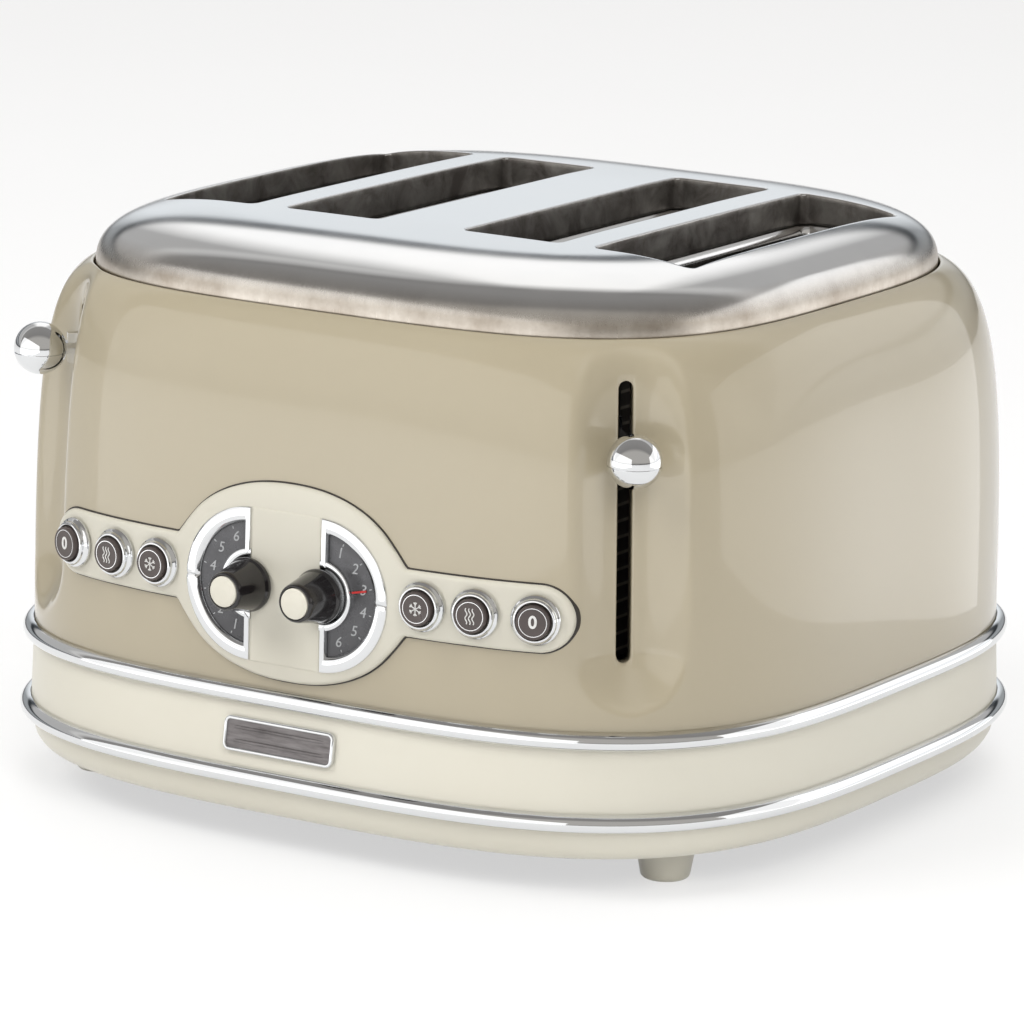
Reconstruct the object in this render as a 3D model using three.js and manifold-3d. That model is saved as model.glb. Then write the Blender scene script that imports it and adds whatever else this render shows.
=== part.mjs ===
// A four-slice toaster of the rounded 1950s kind: a steel body on a plastic base between two bright beads,
// a pressed top plate with four bread slots, a control panel with two dials and six push buttons,
// and a lever with a ball at each front corner.
// Millimetres, +Z up, the control panel faces -Y, the feet stand on z = 0.
import * as THREE from "three";
import { mergeVertices } from "three/addons/utils/BufferGeometryUtils.js";
import Module from "manifold-3d";

const wasm = await Module();
wasm.setup();

// Clearances and overruns
const gap = 0.3;
const slideGap = 0.5;
const overrun = 20;
const weld = 1e-4;
const halfTurn = Math.PI;
const quarterTurn = Math.PI / 2;

// Heights from the table up
const footHeight = 12;
const lipHeight = 14.3;
const skirtHeight = 27.7;
const bodyHeight = 132;
const plateHeight = 21.3;
const beadLowZ = footHeight + lipHeight;
const seamZ = beadLowZ + skirtHeight;
const rimZ = seamZ + bodyHeight;

// Bread slots, in two pairs
const slotWidth = 38.7;
const slotLength = 142.8;
const slotInnerX = 17.4;
const slotBand = 13.8;
const slotBack = 2.6;
const slotCorner = 3;
const slotCollarDepth = 12;
const slotPitch = slotWidth + slotBand;
const slotCentres = [slotInnerX + slotWidth / 2, slotInnerX + slotWidth / 2 + slotPitch];
const slotOuterX = slotInnerX + slotWidth + slotPitch;

// Plan outlines, from the slots outwards: half width, half depth and squareness of each superellipse
const plateMarginX = 24.8;
const plateMarginY = 56.7;
const bodyFlareX = 20.8;
const bodyFlareY = 17.2;
const skirtFlareX = 2.5;
const skirtFlareY = 4;
const rimForward = 4;
const rimHalfX = slotOuterX + plateMarginX;
const rimHalfY = slotLength / 2 + plateMarginY;
const rimSquareness = 3.45;
const seamHalfX = rimHalfX + bodyFlareX;
const seamHalfY = rimHalfY + bodyFlareY;
const seamSquareness = 3.45;
const lipHalfX = seamHalfX + skirtFlareX;
const lipHalfY = seamHalfY + skirtFlareY;
const lipSquareness = 3.22;
const rimLedge = 6;
const bodyWall = 1.5;
const skirtWall = 2.5;
const outlineSteps = 48;

// The side profile of the body: shares of the drawing-in and of the height, as a cubic curve
const sideBulgeShares = [[0, 0], [0.03, 0.57], [0.03, 0.94], [1, 1]];
const sideStepShares = [0, 0.24, 0.44, 0.6, 0.71, 0.81, 0.91, 1];
const liningShares = [0, 0.5, 0.76, 1];
// The lip under the lower bead: shares of its tuck and of its height
const lipTuck = 6.5;
const lipShares = [[1, 0], [0.68, 0.06], [0.38, 0.2], [0.12, 0.55], [0, 1]];

// Half-round beads
const beadRadius = 3.2;
const beadSteps = 4;

// Feet
const footTopRadius = 10.5;
const footBottomRadius = 8.4;
const footEdge = 1.2;
const footInsetX = 38.7;
const footInsetY = 57.3;
const footX = lipHalfX - footInsetX;
const footY = lipHalfY - footInsetY;
const footSides = 16;

// Bottom cover
const coverThickness = 2.4;
const coverRecess = 0.6;
const ventLength = 34;
const ventWidth = 4;
const ventPitch = 11;
const ventCount = 7;
const ventCentreX = 62;
const boardPostSize = 6;
const boardPostX = 70;
const boardPostHeight = 62;

// Top plate
const plateStep = 1.2;
const plateSheet = 1.2;
const plateShoulder = 38;
const shoulderHeight = 20.2;
const shoulderShares = [[0, 0], [0, 0.6], [0.26, 0.92], [1, 1]];
const shoulderStepShares = [0, 0.3, 0.5, 0.65, 0.82, 1];
const plateLiningShares = [0, 0.4, 0.7, 1];
const crownShares = [0.65];

// Corner flutes and lever slots
const cornerAngle = (45.6 * Math.PI) / 180;
const fluteRadius = 22;
const fluteLean = (3.2 * Math.PI) / 180;
const fluteDepth = 10.19;
const fluteBottomRound = 22;
const fluteRoundShares = [0.45, 0.75, 0.93];
const fluteBelowSlot = 6.2;
const fluteAboveSlot = 14;
const fluteSides = 22;
const leverSlotWidth = 5;
const leverSlotAboveSeam = 24.7;
const leverSlotBelowRim = 13;
const leverSlotLowZ = seamZ + leverSlotAboveSeam;
const leverSlotHighZ = rimZ - leverSlotBelowRim;
const leverSlotMidZ = (leverSlotLowZ + leverSlotHighZ) / 2;

// Levers: the ball stands out from the flute's floor, and the left one rests higher
const ballRadius = 9.2;
const ballSides = 16;
const ballOut = 12.1;
const rightBallBelowSlotTop = 24;
const leftBallBelowSlotTop = 15.4;
const ballRestZ = {
  right: leverSlotHighZ - rightBallBelowSlotTop,
  left: leverSlotHighZ - leftBallBelowSlotTop,
};
const neckThickness = 3.4;
const neckHeight = 10.5;
const stubRadius = 2.5;
const stubLength = 8;

// Carriages, racks, rods and springs
const wellEndGap = 6;
const chassisSheet = 1.2;
const chassisMargin = 10.4;
const chassisBelowRim = 4;
const chassisHalfWidth = slotOuterX + chassisMargin;
const chassisTopZ = rimZ - chassisBelowRim;
const carriageForward = 8.3;
const carriageSheet = 3;
const carriageBelow = 18;
const carriageAbove = 5;
const carriageInset = 6.75;
const rackWidth = 6;
const rackTop = 10;
const rackHeight = 8;
const finWidth = 26;
const finThickness = 2;
const finHeight = 4;
const finCount = 6;
const rodX = (slotCentres[0] + slotCentres[1]) / 2;
const rodForward = 5.7;
const rodRadius = 2.5;
const sleeveRadius = 6.4;
const rodBelowRim = 3;
const rodTopZ = rimZ - rodBelowRim;
const springRadius = 4.3;
const springWire = 0.6;
const springTurns = 7;
const springStepsPerTurn = 6;
const springSides = 2;
const tongueSlotMargin = 4;

// Electromagnets that hold the carriages down
const magnetFromRod = 18;
const magnetX = rodX - magnetFromRod;
const magnetWidth = 16;
const magnetDepth = 13;
const magnetHeight = 18;
const magnetCoreRadius = 4.5;
const magnetCoreHeight = 8;

// Heating boards
const heaterThickness = 2;
const heaterAboveSeam = 4;
const heaterBelowRim = 6;
const heaterLowZ = seamZ + heaterAboveSeam;
const heaterHighZ = rimZ - heaterBelowRim;
const heaterInset = 5;

// Crumb trays
const trayInnerMargin = 2.4;
const trayOuterMargin = 1.4;
const trayInnerX = slotInnerX - trayInnerMargin;
const trayOuterX = slotOuterX + trayOuterMargin;
const traySheet = 1.2;
const trayHeight = 6;
const trayHandleDepth = 3;
const trayHandleWidth = 46;
const trayHandleThickness = 2;

// Control panel: two strips, an oval bulge and a raised middle block
const panelAboveSeam = 40.8;
const panelZ = seamZ + panelAboveSeam;
const stripHalfHeight = 11.4;
const stripThickness = 2;
const bulgeHalfX = 46.5;
const bulgeHalfZ = 34;
const bulgeSquareness = 2.2;
const bulgeThickness = 3.1;
const bulgeFilletSpan = 5;
const bulgeSteps = 30;
const blockThickness = 3.4;
const panelFloor = 1;

// Dials
const dialX = 14.4;
const dialBelowPanel = 1.6;
const dialZ = panelZ - dialBelowPanel;
const dialRadius = 26.8;
const dialFrameWidth = 5.7;
const dialFrameBar = 2.4;
const dialFrameThickness = 3.9;
const dialFaceThickness = 2.2;
const dialRingRadius = 12.2;
const dialRingThickness = 3.6;
const dialSteps = 14;

// Knobs
const knobBaseRadius = 9.4;
const knobTipRadius = 6.4;
const knobLength = 15;
const knobSkirt = 2.2;
const capRadius = 5.3;
const capThickness = 1.4;
const capProud = 0.5;
const shaftRadius = 3;
const shaftLength = 12;
const knobSides = 20;

// Push buttons, from the middle outwards on each side
const buttonInnerX = 53.8;
const buttonMiddleX = 73.4;
const buttonOuterX = 94.2;
const buttonXs = [buttonInnerX, buttonMiddleX, buttonOuterX];
const bezelRadius = 8.7;
const bezelStepRadius = 7.3;
const bezelFlange = 1.1;
const bezelHeight = 3.4;
const buttonRadius = 5.8;
const buttonHeight = 3;
const buttonDish = 0.5;
const buttonTravel = 2;
const stemRadius = 2.2;
const stemLength = 10;
const bezelSides = 16;
const boreSides = 8;

// Circuit board
const boardHalfWidth = 84;
const boardHeight = 64;
const boardThickness = 1.6;
const boardSetback = 15.9;
const boardAboveSeam = 8;
const boardY = boardSetback - seamHalfY;
const boardLowZ = seamZ + boardAboveSeam;

// Badge plate, blank
const badgeX = -2;
const badgeWidth = 45;
const badgeHeight = 12;
const badgeCorner = 2.6;
const badgeThickness = 1.9;
const badgeBorder = 1.3;
const badgeRecess = 0.8;

// Cord gland at the rear
const glandRadius = 9;
const glandNeckRadius = 7;
const glandBore = 4.6;
const glandFlange = 2;
const glandNeck = 7;
const glandSides = 16;

// Colours
const beige = { color: 0xc8bea5, roughness: 0.3, metalness: 0.2 };
const cream = { color: 0xddd9cc, roughness: 0.4, metalness: 0 };
const chrome = { color: 0xdfe2e4, roughness: 0.08, metalness: 1 };
const brushed = { color: 0xb9b4ad, roughness: 0.35, metalness: 1 };
const blackPlastic = { color: 0x1d1a1c, roughness: 0.25, metalness: 0 };
const darkGrey = { color: 0x4a494b, roughness: 0.5, metalness: 0 };
const sheetSteel = { color: 0x8f9194, roughness: 0.45, metalness: 1 };
const mica = { color: 0xb8a987, roughness: 0.7, metalness: 0 };
const boardGreen = { color: 0x3f5a3c, roughness: 0.6, metalness: 0 };
const copper = { color: 0x8c5a3a, roughness: 0.5, metalness: 0.6 };

const toaster = new THREE.Group();

// Solids and their meshes

function solidOf(geometry) {
  const bare = geometry.clone();
  bare.deleteAttribute("normal");
  bare.deleteAttribute("uv");
  const merged = mergeVertices(bare, weld);
  const vertProperties = new Float32Array(merged.attributes.position.array);
  const triVerts = new Uint32Array(merged.index.array);
  return new wasm.Manifold(new wasm.Mesh({ numProp: 3, vertProperties, triVerts }));
}

function geometryOf(solid) {
  const made = solid.getMesh();
  const geometry = new THREE.BufferGeometry();
  geometry.setAttribute("position", new THREE.BufferAttribute(made.vertProperties, 3));
  geometry.setIndex(new THREE.BufferAttribute(made.triVerts, 1));
  geometry.computeVertexNormals();
  return geometry;
}

function addNode(name, shape, finish) {
  const geometry = shape.isBufferGeometry ? shape : geometryOf(shape);
  const mesh = new THREE.Mesh(geometry, new THREE.MeshStandardMaterial(finish));
  mesh.name = name;
  toaster.add(mesh);
  return mesh;
}

const union = (solids) => solids.reduce((joined, solid) => joined.add(solid));
const cutAll = (solid, cutters) => cutters.reduce((left, cutter) => left.subtract(cutter), solid);

function box(low, high) {
  const size = new THREE.Vector3().subVectors(high, low);
  const geometry = new THREE.BoxGeometry(size.x, size.y, size.z);
  geometry.translate(low.x + size.x / 2, low.y + size.y / 2, low.z + size.z / 2);
  return solidOf(geometry);
}

const at = (x, y, z) => new THREE.Vector3(x, y, z);

// A box given by its x range, y range and z range, in any order of signs
function block(xs, ys, zs) {
  const low = at(Math.min(...xs), Math.min(...ys), Math.min(...zs));
  const high = at(Math.max(...xs), Math.max(...ys), Math.max(...zs));
  return box(low, high);
}

// A solid turned about +Z from radius and height pairs that start and end on the axis
function turned(profile, sides) {
  const points = profile.map(([radius, height]) => new THREE.Vector2(radius, height));
  const geometry = new THREE.LatheGeometry(points, sides);
  geometry.rotateX(quarterTurn);
  return geometry;
}

const rod = (radius, lowZ, highZ, sides) =>
  turned([[0, lowZ], [radius, lowZ], [radius, highZ], [0, highZ]], sides);

const placed = (geometry, matrix) => solidOf(geometry.clone().applyMatrix4(matrix));

const moved = (geometry, x, y, z) => solidOf(geometry.clone().translate(x, y, z));

// Outlines and lofts

function outlinePoint(section, turn) {
  const power = 2 / section.squareness;
  const bend = (value) => Math.sign(value) * Math.abs(value) ** power;
  return [section.halfX * bend(Math.cos(turn)), section.centreY + section.halfY * bend(Math.sin(turn))];
}

function loft(sections) {
  const points = [];
  const faces = [];
  const ringStart = (ring) => ring * outlineSteps;
  for (const section of sections) {
    for (let step = 0; step < outlineSteps; step += 1) {
      const [x, y] = outlinePoint(section, (2 * Math.PI * step) / outlineSteps);
      points.push(x, y, section.z);
    }
  }
  for (let ring = 0; ring + 1 < sections.length; ring += 1) {
    for (let step = 0; step < outlineSteps; step += 1) {
      const next = (step + 1) % outlineSteps;
      const [a, b] = [ringStart(ring) + step, ringStart(ring) + next];
      const [c, d] = [ringStart(ring + 1) + next, ringStart(ring + 1) + step];
      faces.push(a, b, c, a, c, d);
    }
  }
  const first = sections[0];
  const last = sections[sections.length - 1];
  const lowCentre = points.length / 3;
  points.push(0, first.centreY, first.z, 0, last.centreY, last.z);
  for (let step = 0; step < outlineSteps; step += 1) {
    const next = (step + 1) % outlineSteps;
    const top = ringStart(sections.length - 1);
    faces.push(lowCentre, next, step, lowCentre + 1, top + step, top + next);
  }
  const geometry = new THREE.BufferGeometry();
  geometry.setAttribute("position", new THREE.Float32BufferAttribute(points, 3));
  geometry.setIndex(faces);
  return solidOf(geometry);
}

const mix = (from, to, share) => from + (to - from) * share;

const vectorOf = ([x, y]) => new THREE.Vector2(x, y);
const sideCurve = new THREE.CubicBezierCurve(...sideBulgeShares.map(vectorOf));
const shoulderCurve = new THREE.CubicBezierCurve(...shoulderShares.map(vectorOf));

// The body's outline at a point of its side profile, grown outwards by a distance
function bodySection(share, grow) {
  const { x: drawn, y: height } = sideCurve.getPoint(share);
  return {
    halfX: mix(seamHalfX, rimHalfX, drawn) + grow,
    halfY: mix(seamHalfY, rimHalfY, drawn) + grow,
    centreY: -rimForward * drawn,
    squareness: mix(seamSquareness, rimSquareness, drawn),
    z: seamZ + bodyHeight * height,
  };
}

function shareAtHeight(z) {
  let low = 0;
  let high = 1;
  while (high - low > weld) {
    const middle = (low + high) / 2;
    if (seamZ + bodyHeight * sideCurve.getPoint(middle).y < z) low = middle;
    else high = middle;
  }
  return (low + high) / 2;
}

// The solid inside the body's outer face, grown outwards by a distance
const grownBody = (grow) => loft(sideStepShares.map((share) => bodySection(share, grow)));

// The base's outline between the lip and the seam
function skirtSection(share, grow, z) {
  return {
    halfX: mix(lipHalfX, seamHalfX, share) + grow,
    halfY: mix(lipHalfY, seamHalfY, share) + grow,
    centreY: 0,
    squareness: mix(lipSquareness, seamSquareness, share),
    z,
  };
}

function grownSkirt(grow, lowZ, highZ) {
  const lip = lipShares.map(([tuck, height]) =>
    skirtSection(0, grow - lipTuck * tuck, mix(lowZ, beadLowZ, height)));
  return loft([...lip, skirtSection(1, grow, highZ)]);
}

// A closed ring around the base whose section is a list of outward and upward distances
function ringAround(z, profile) {
  const points = [];
  const faces = [];
  for (const [outward, upward] of profile) {
    const share = Math.max(0, Math.min(1, (z + upward - beadLowZ) / skirtHeight));
    const section = skirtSection(share, outward, z + upward);
    for (let step = 0; step < outlineSteps; step += 1) {
      points.push(...outlinePoint(section, (2 * Math.PI * step) / outlineSteps), section.z);
    }
  }
  for (let ring = 0; ring < profile.length; ring += 1) {
    const above = (ring + 1) % profile.length;
    for (let step = 0; step < outlineSteps; step += 1) {
      const next = (step + 1) % outlineSteps;
      const [a, b] = [ring * outlineSteps + step, ring * outlineSteps + next];
      const [c, d] = [above * outlineSteps + next, above * outlineSteps + step];
      faces.push(a, b, c, a, c, d);
    }
  }
  const geometry = new THREE.BufferGeometry();
  geometry.setAttribute("position", new THREE.Float32BufferAttribute(points, 3));
  geometry.setIndex(faces);
  return geometry;
}

// Shapes drawn on the front, in x and z

function roundedRectangle(centreX, centreZ, width, height, corner) {
  const shape = new THREE.Shape();
  const [left, right] = [centreX - width / 2, centreX + width / 2];
  const [low, high] = [centreZ - height / 2, centreZ + height / 2];
  shape.moveTo(left + corner, low);
  shape.lineTo(right - corner, low);
  shape.absarc(right - corner, low + corner, corner, -quarterTurn, 0);
  shape.lineTo(right, high - corner);
  shape.absarc(right - corner, high - corner, corner, 0, quarterTurn);
  shape.lineTo(left + corner, high);
  shape.absarc(left + corner, high - corner, corner, quarterTurn, halfTurn);
  shape.lineTo(left, low + corner);
  shape.absarc(left + corner, low + corner, corner, halfTurn, 3 * quarterTurn);
  return shape;
}

// A prism that runs from inside the body out through its front face
function frontPrism(shape, curveSegments) {
  const depth = (lipHalfY + overrun) / 2;
  const geometry = new THREE.ExtrudeGeometry(shape, { depth, bevelEnabled: false, curveSegments });
  geometry.rotateX(quarterTurn);
  geometry.translate(0, -depth, 0);
  return solidOf(geometry);
}

// The slice of a front prism that lies between two distances from the body's face
const onFront = (prism, inner, outer) => prism.intersect(grownBody(outer)).subtract(grownBody(inner));

// A point of the front face at a distance from it, and the frame there: local +Z points outwards
function frontPoint(x, z, outward) {
  const section = bodySection(shareAtHeight(z), outward);
  const fill = 1 - Math.abs(x / section.halfX) ** section.squareness;
  return at(x, section.centreY - section.halfY * fill ** (1 / section.squareness), z);
}

function frontFrame(x, z, outward) {
  const reach = gap;
  const across = frontPoint(x + reach, z, outward).sub(frontPoint(x - reach, z, outward)).normalize();
  const upwards = frontPoint(x, z + reach, outward).sub(frontPoint(x, z - reach, outward)).normalize();
  const normal = new THREE.Vector3().crossVectors(across, upwards).normalize();
  const upright = new THREE.Vector3().crossVectors(normal, across).normalize();
  return new THREE.Matrix4().makeBasis(across, upright, normal).setPosition(frontPoint(x, z, outward));
}

// The distance from the axis to the body's outer face, along a lever's direction
function cornerReach(z) {
  const section = bodySection(shareAtHeight(z), 0);
  const across = Math.cos(cornerAngle) / section.halfX;
  const forward = Math.sin(cornerAngle) / section.halfY;
  const offset = section.centreY / section.halfY;
  let near = 0;
  let far = section.halfX + section.halfY;
  while (far - near > weld) {
    const middle = (near + far) / 2;
    const fill = (across * middle) ** section.squareness
      + Math.abs(forward * middle + offset) ** section.squareness;
    if (fill < 1) near = middle;
    else far = middle;
  }
  return (near + far) / 2;
}

// The frame of a lever: local +X points out through the corner, local +Z runs up the leaning slot
const sides = { right: 1, left: -1 };
const fluteFloor = cornerReach(leverSlotMidZ) - fluteDepth;

function cornerTurn(side) {
  const turn = side === "right" ? -cornerAngle : cornerAngle - halfTurn;
  return new THREE.Matrix4().makeRotationZ(turn);
}

function fluteFrame(side) {
  const lean = new THREE.Matrix4().makeRotationY(-fluteLean).setPosition(at(fluteFloor, 0, leverSlotMidZ));
  return cornerTurn(side).multiply(lean);
}

// Body shell with its flutes, lever slots and the holes behind the panel

function fluteCutter(side, grow) {
  const radius = fluteRadius + grow;
  const lowZ = leverSlotLowZ - leverSlotMidZ - fluteBelowSlot - grow;
  const highZ = leverSlotHighZ - leverSlotMidZ + fluteAboveSlot + overrun;
  const profile = [[0, lowZ - fluteBottomRound / 2]];
  for (const share of fluteRoundShares) {
    const rise = 1 - Math.sqrt(1 - share ** 2);
    profile.push([radius * share, lowZ - fluteBottomRound / 2 + fluteBottomRound * rise]);
  }
  profile.push([radius, lowZ + fluteBottomRound / 2], [radius, highZ], [0, highZ]);
  const geometry = turned(profile, fluteSides);
  geometry.translate(fluteRadius, 0, 0);
  return placed(geometry, fluteFrame(side));
}

function leverSlotCutter(side) {
  const height = leverSlotHighZ - leverSlotLowZ;
  const shape = roundedRectangle(0, 0, leverSlotWidth, height, leverSlotWidth / 2 - weld);
  const depth = 2 * overrun;
  const geometry = new THREE.ExtrudeGeometry(shape, { depth, bevelEnabled: false, curveSegments: 5 });
  geometry.translate(0, 0, -depth / 2);
  const turn = new THREE.Matrix4().makeBasis(at(0, 1, 0), at(0, 0, 1), at(1, 0, 0));
  return placed(geometry.applyMatrix4(turn), fluteFrame(side));
}

function insideOfBody() {
  const sections = liningShares.map((share) => {
    const section = bodySection(share, -bodyWall);
    return { ...section, z: section.z - bodyWall * share };
  });
  const below = { ...sections[0], z: seamZ - overrun };
  const opening = [rimZ - overrun / 2, rimZ + overrun].map((z) => ({
    ...bodySection(1, -rimLedge),
    z,
  }));
  return loft([below, ...sections.slice(1)]).add(loft(opening));
}

const rowPlaces = Object.values(sides).flatMap((sign) => buttonXs.map((x) => sign * x));

const knobFrame = (sign) => frontFrame(sign * dialX, dialZ, dialRingThickness + gap);
const buttonFrame = (x) => frontFrame(x, panelZ, stripThickness + gap);

// The holes through body and panel for the knobs' shafts and the buttons' stems
function controlBores() {
  const bore = (radius) => rod(radius + slideGap, -overrun, overrun, boreSides);
  const knobs = Object.values(sides).map((sign) => placed(bore(shaftRadius), knobFrame(sign)));
  return [...knobs, ...rowPlaces.map((x) => placed(bore(stemRadius), buttonFrame(x)))];
}

function bodyShell() {
  const outer = grownBody(0);
  let shell = outer.subtract(insideOfBody());
  for (const side of Object.keys(sides)) {
    shell = shell.add(fluteCutter(side, bodyWall).intersect(outer));
    shell = shell.subtract(fluteCutter(side, 0)).subtract(leverSlotCutter(side));
  }
  return cutAll(shell, controlBores());
}

// Top plate: shoulders, crown, four slots and their downturned collars

function plateSections(sink, shoulderSteps, crownSteps) {
  const shoulder = shoulderSteps.map((share) => {
    const { x: inward, y: height } = shoulderCurve.getPoint(share);
    const drawn = -plateStep - plateShoulder * inward - sink;
    return { ...bodySection(1, drawn), z: rimZ + gap + shoulderHeight * height - sink * share };
  });
  const crease = shoulder[shoulder.length - 1];
  const crown = crownSteps.map((share) => ({
    ...crease,
    halfX: crease.halfX * share,
    halfY: crease.halfY * share,
    z: crease.z + (plateHeight - shoulderHeight) * (1 - share ** 2),
  }));
  return [...shoulder, ...crown];
}

function slotPlaces() {
  return Object.entries(sides).flatMap(([side, sign]) =>
    slotCentres.map((x) => ({ side, sign, x: sign * x })));
}

function slotPrism(x, grow) {
  const corner = slotCorner + grow;
  const shape = roundedRectangle(x, slotBack, slotWidth + 2 * grow, slotLength + 2 * grow, corner);
  const depth = plateHeight + 2 * overrun;
  const geometry = new THREE.ExtrudeGeometry(shape, { depth, bevelEnabled: false, curveSegments: 2 });
  return moved(geometry, 0, 0, rimZ - overrun);
}

function topPlate() {
  const outer = loft(plateSections(0, shoulderStepShares, crownShares));
  const lining = plateSections(plateSheet, plateLiningShares, []);
  const inside = loft([{ ...lining[0], z: rimZ - overrun }, ...lining]);
  const collarLowZ = rimZ + plateHeight - slotCollarDepth;
  const above = block([-seamHalfX, seamHalfX], [-seamHalfY, seamHalfY], [collarLowZ, rimZ + 2 * plateHeight]);
  let plate = outer.subtract(inside);
  for (const { x } of slotPlaces()) {
    const collar = slotPrism(x, plateSheet).intersect(outer).intersect(above);
    plate = plate.add(collar);
  }
  return cutAll(plate, slotPlaces().map(({ x }) => slotPrism(x, 0)));
}

// Base: skirt with the tray mouths, the cord hole, the beads, the cover and the feet

const coverLowZ = footHeight + coverRecess;
const coverTopZ = coverLowZ + coverThickness;
const trayLowZ = coverTopZ + gap;
const cordZ = (beadLowZ + seamZ) / 2;

function trayMouth(sign) {
  const xs = [sign * (trayInnerX - slideGap), sign * (trayOuterX + slideGap)];
  return block(xs, [0, lipHalfY + overrun], [trayLowZ - slideGap, trayLowZ + trayHeight + slideGap]);
}

// A turned piece placed square on the middle of the skirt's rear face
function onRearFace(geometry) {
  const taper = Math.atan2(lipHalfY - seamHalfY, skirtHeight);
  const rearY = mix(lipHalfY, seamHalfY, (cordZ - beadLowZ) / skirtHeight);
  const square = new THREE.Matrix4().makeRotationX(taper - quarterTurn);
  return placed(geometry, square.setPosition(at(0, rearY, cordZ)));
}

function baseSkirt() {
  const highZ = seamZ - gap;
  const under = skirtSection(0, -skirtWall - lipTuck, footHeight);
  const inside = loft([
    { ...under, z: footHeight - overrun },
    under,
    skirtSection(0, -skirtWall, beadLowZ),
    skirtSection(1, -skirtWall, highZ),
    skirtSection(1, -skirtWall, highZ + overrun),
  ]);
  const shell = grownSkirt(0, footHeight, highZ).subtract(inside);
  const cuts = Object.values(sides).map(trayMouth);
  return cutAll(shell, [...cuts, onRearFace(rod(glandNeckRadius + gap, -overrun, overrun, glandSides))]);
}

function bead(z) {
  const profile = [];
  for (let step = 0; step <= beadSteps; step += 1) {
    const turn = -quarterTurn + (halfTurn * step) / beadSteps;
    profile.push([gap + beadRadius * Math.cos(turn), beadRadius * Math.sin(turn)]);
  }
  return ringAround(z, profile);
}

function bottomCover() {
  const drawn = -skirtWall - lipTuck - gap;
  const edge = skirtSection(0, drawn, coverLowZ);
  const plate = loft([edge, { ...edge, z: coverTopZ }]);
  const vents = [];
  for (const sign of Object.values(sides)) {
    for (let place = 0; place < ventCount; place += 1) {
      const y = (place - (ventCount - 1) / 2) * ventPitch;
      const xs = [sign * ventCentreX - ventLength / 2, sign * ventCentreX + ventLength / 2];
      vents.push(block(xs, [y - ventWidth / 2, y + ventWidth / 2], [footHeight, coverTopZ + overrun]));
    }
  }
  const posts = Object.values(sides).map((sign) => {
    const xs = [sign * boardPostX - boardPostSize / 2, sign * boardPostX + boardPostSize / 2];
    const ys = [boardY + gap, boardY + gap + boardPostSize];
    return block(xs, ys, [coverLowZ + coverThickness / 2, coverTopZ + boardPostHeight]);
  });
  return union([cutAll(plate, vents), ...posts]);
}

function foot() {
  const topZ = coverLowZ - gap;
  const profile = [
    [0, 0],
    [footBottomRadius - footEdge, 0],
    [footBottomRadius, footEdge],
    [footTopRadius, topZ],
    [0, topZ],
  ];
  return turned(profile, footSides);
}

// Control panel

// Half the bulge's height at a distance from its middle
const bulgeRise = (x) =>
  bulgeHalfZ * Math.max(0, 1 - Math.abs(x / bulgeHalfX) ** bulgeSquareness) ** (1 / bulgeSquareness);

function bulgeShape() {
  const shape = new THREE.Shape();
  for (let step = 0; step < bulgeSteps; step += 1) {
    const turn = (2 * Math.PI * step) / bulgeSteps;
    const power = 2 / bulgeSquareness;
    const bend = (value) => Math.sign(value) * Math.abs(value) ** power;
    const x = bulgeHalfX * bend(Math.cos(turn));
    const z = panelZ + bulgeHalfZ * bend(Math.sin(turn));
    if (step === 0) shape.moveTo(x, z);
    else shape.lineTo(x, z);
  }
  return shape;
}

// The hollow corners where the bulge runs into the strips, as a four-cornered piece of panel at each
function bulgeFillets() {
  const pieces = [];
  for (const signX of [1, -1]) {
    for (const signZ of [1, -1]) {
      const span = bulgeFilletSpan;
      const fill = 1 - (stripHalfHeight / bulgeHalfZ) ** bulgeSquareness;
      const root = bulgeHalfX * fill ** (1 / bulgeSquareness);
      const shape = new THREE.Shape();
      const edgeZ = panelZ + signZ * stripHalfHeight;
      const riseZ = panelZ + signZ * bulgeRise(root - span);
      shape.moveTo(signX * (root - span), riseZ);
      shape.lineTo(signX * (root - span), edgeZ - signZ * span);
      shape.lineTo(signX * (root + span), edgeZ - signZ * span);
      shape.lineTo(signX * (root + span), edgeZ);
      shape.quadraticCurveTo(signX * root, edgeZ, signX * (root - span), riseZ);
      pieces.push(onFront(frontPrism(shape, 4), gap, stripThickness));
    }
  }
  return pieces;
}

function halfDisc(sign, radius, back) {
  const shape = new THREE.Shape();
  const tilt = Math.asin(Math.min(1, back / radius));
  const start = -quarterTurn + tilt;
  const end = quarterTurn - tilt;
  for (let step = 0; step <= dialSteps; step += 1) {
    const turn = mix(start, end, step / dialSteps);
    const x = sign * (dialX + radius * Math.cos(turn));
    const z = dialZ + radius * Math.sin(turn);
    if (step === 0) shape.moveTo(x, z);
    else shape.lineTo(x, z);
  }
  return shape;
}

const dialDisc = (sign, radius) => placed(rod(radius, -overrun, overrun, knobSides), knobFrame(sign));

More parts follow.
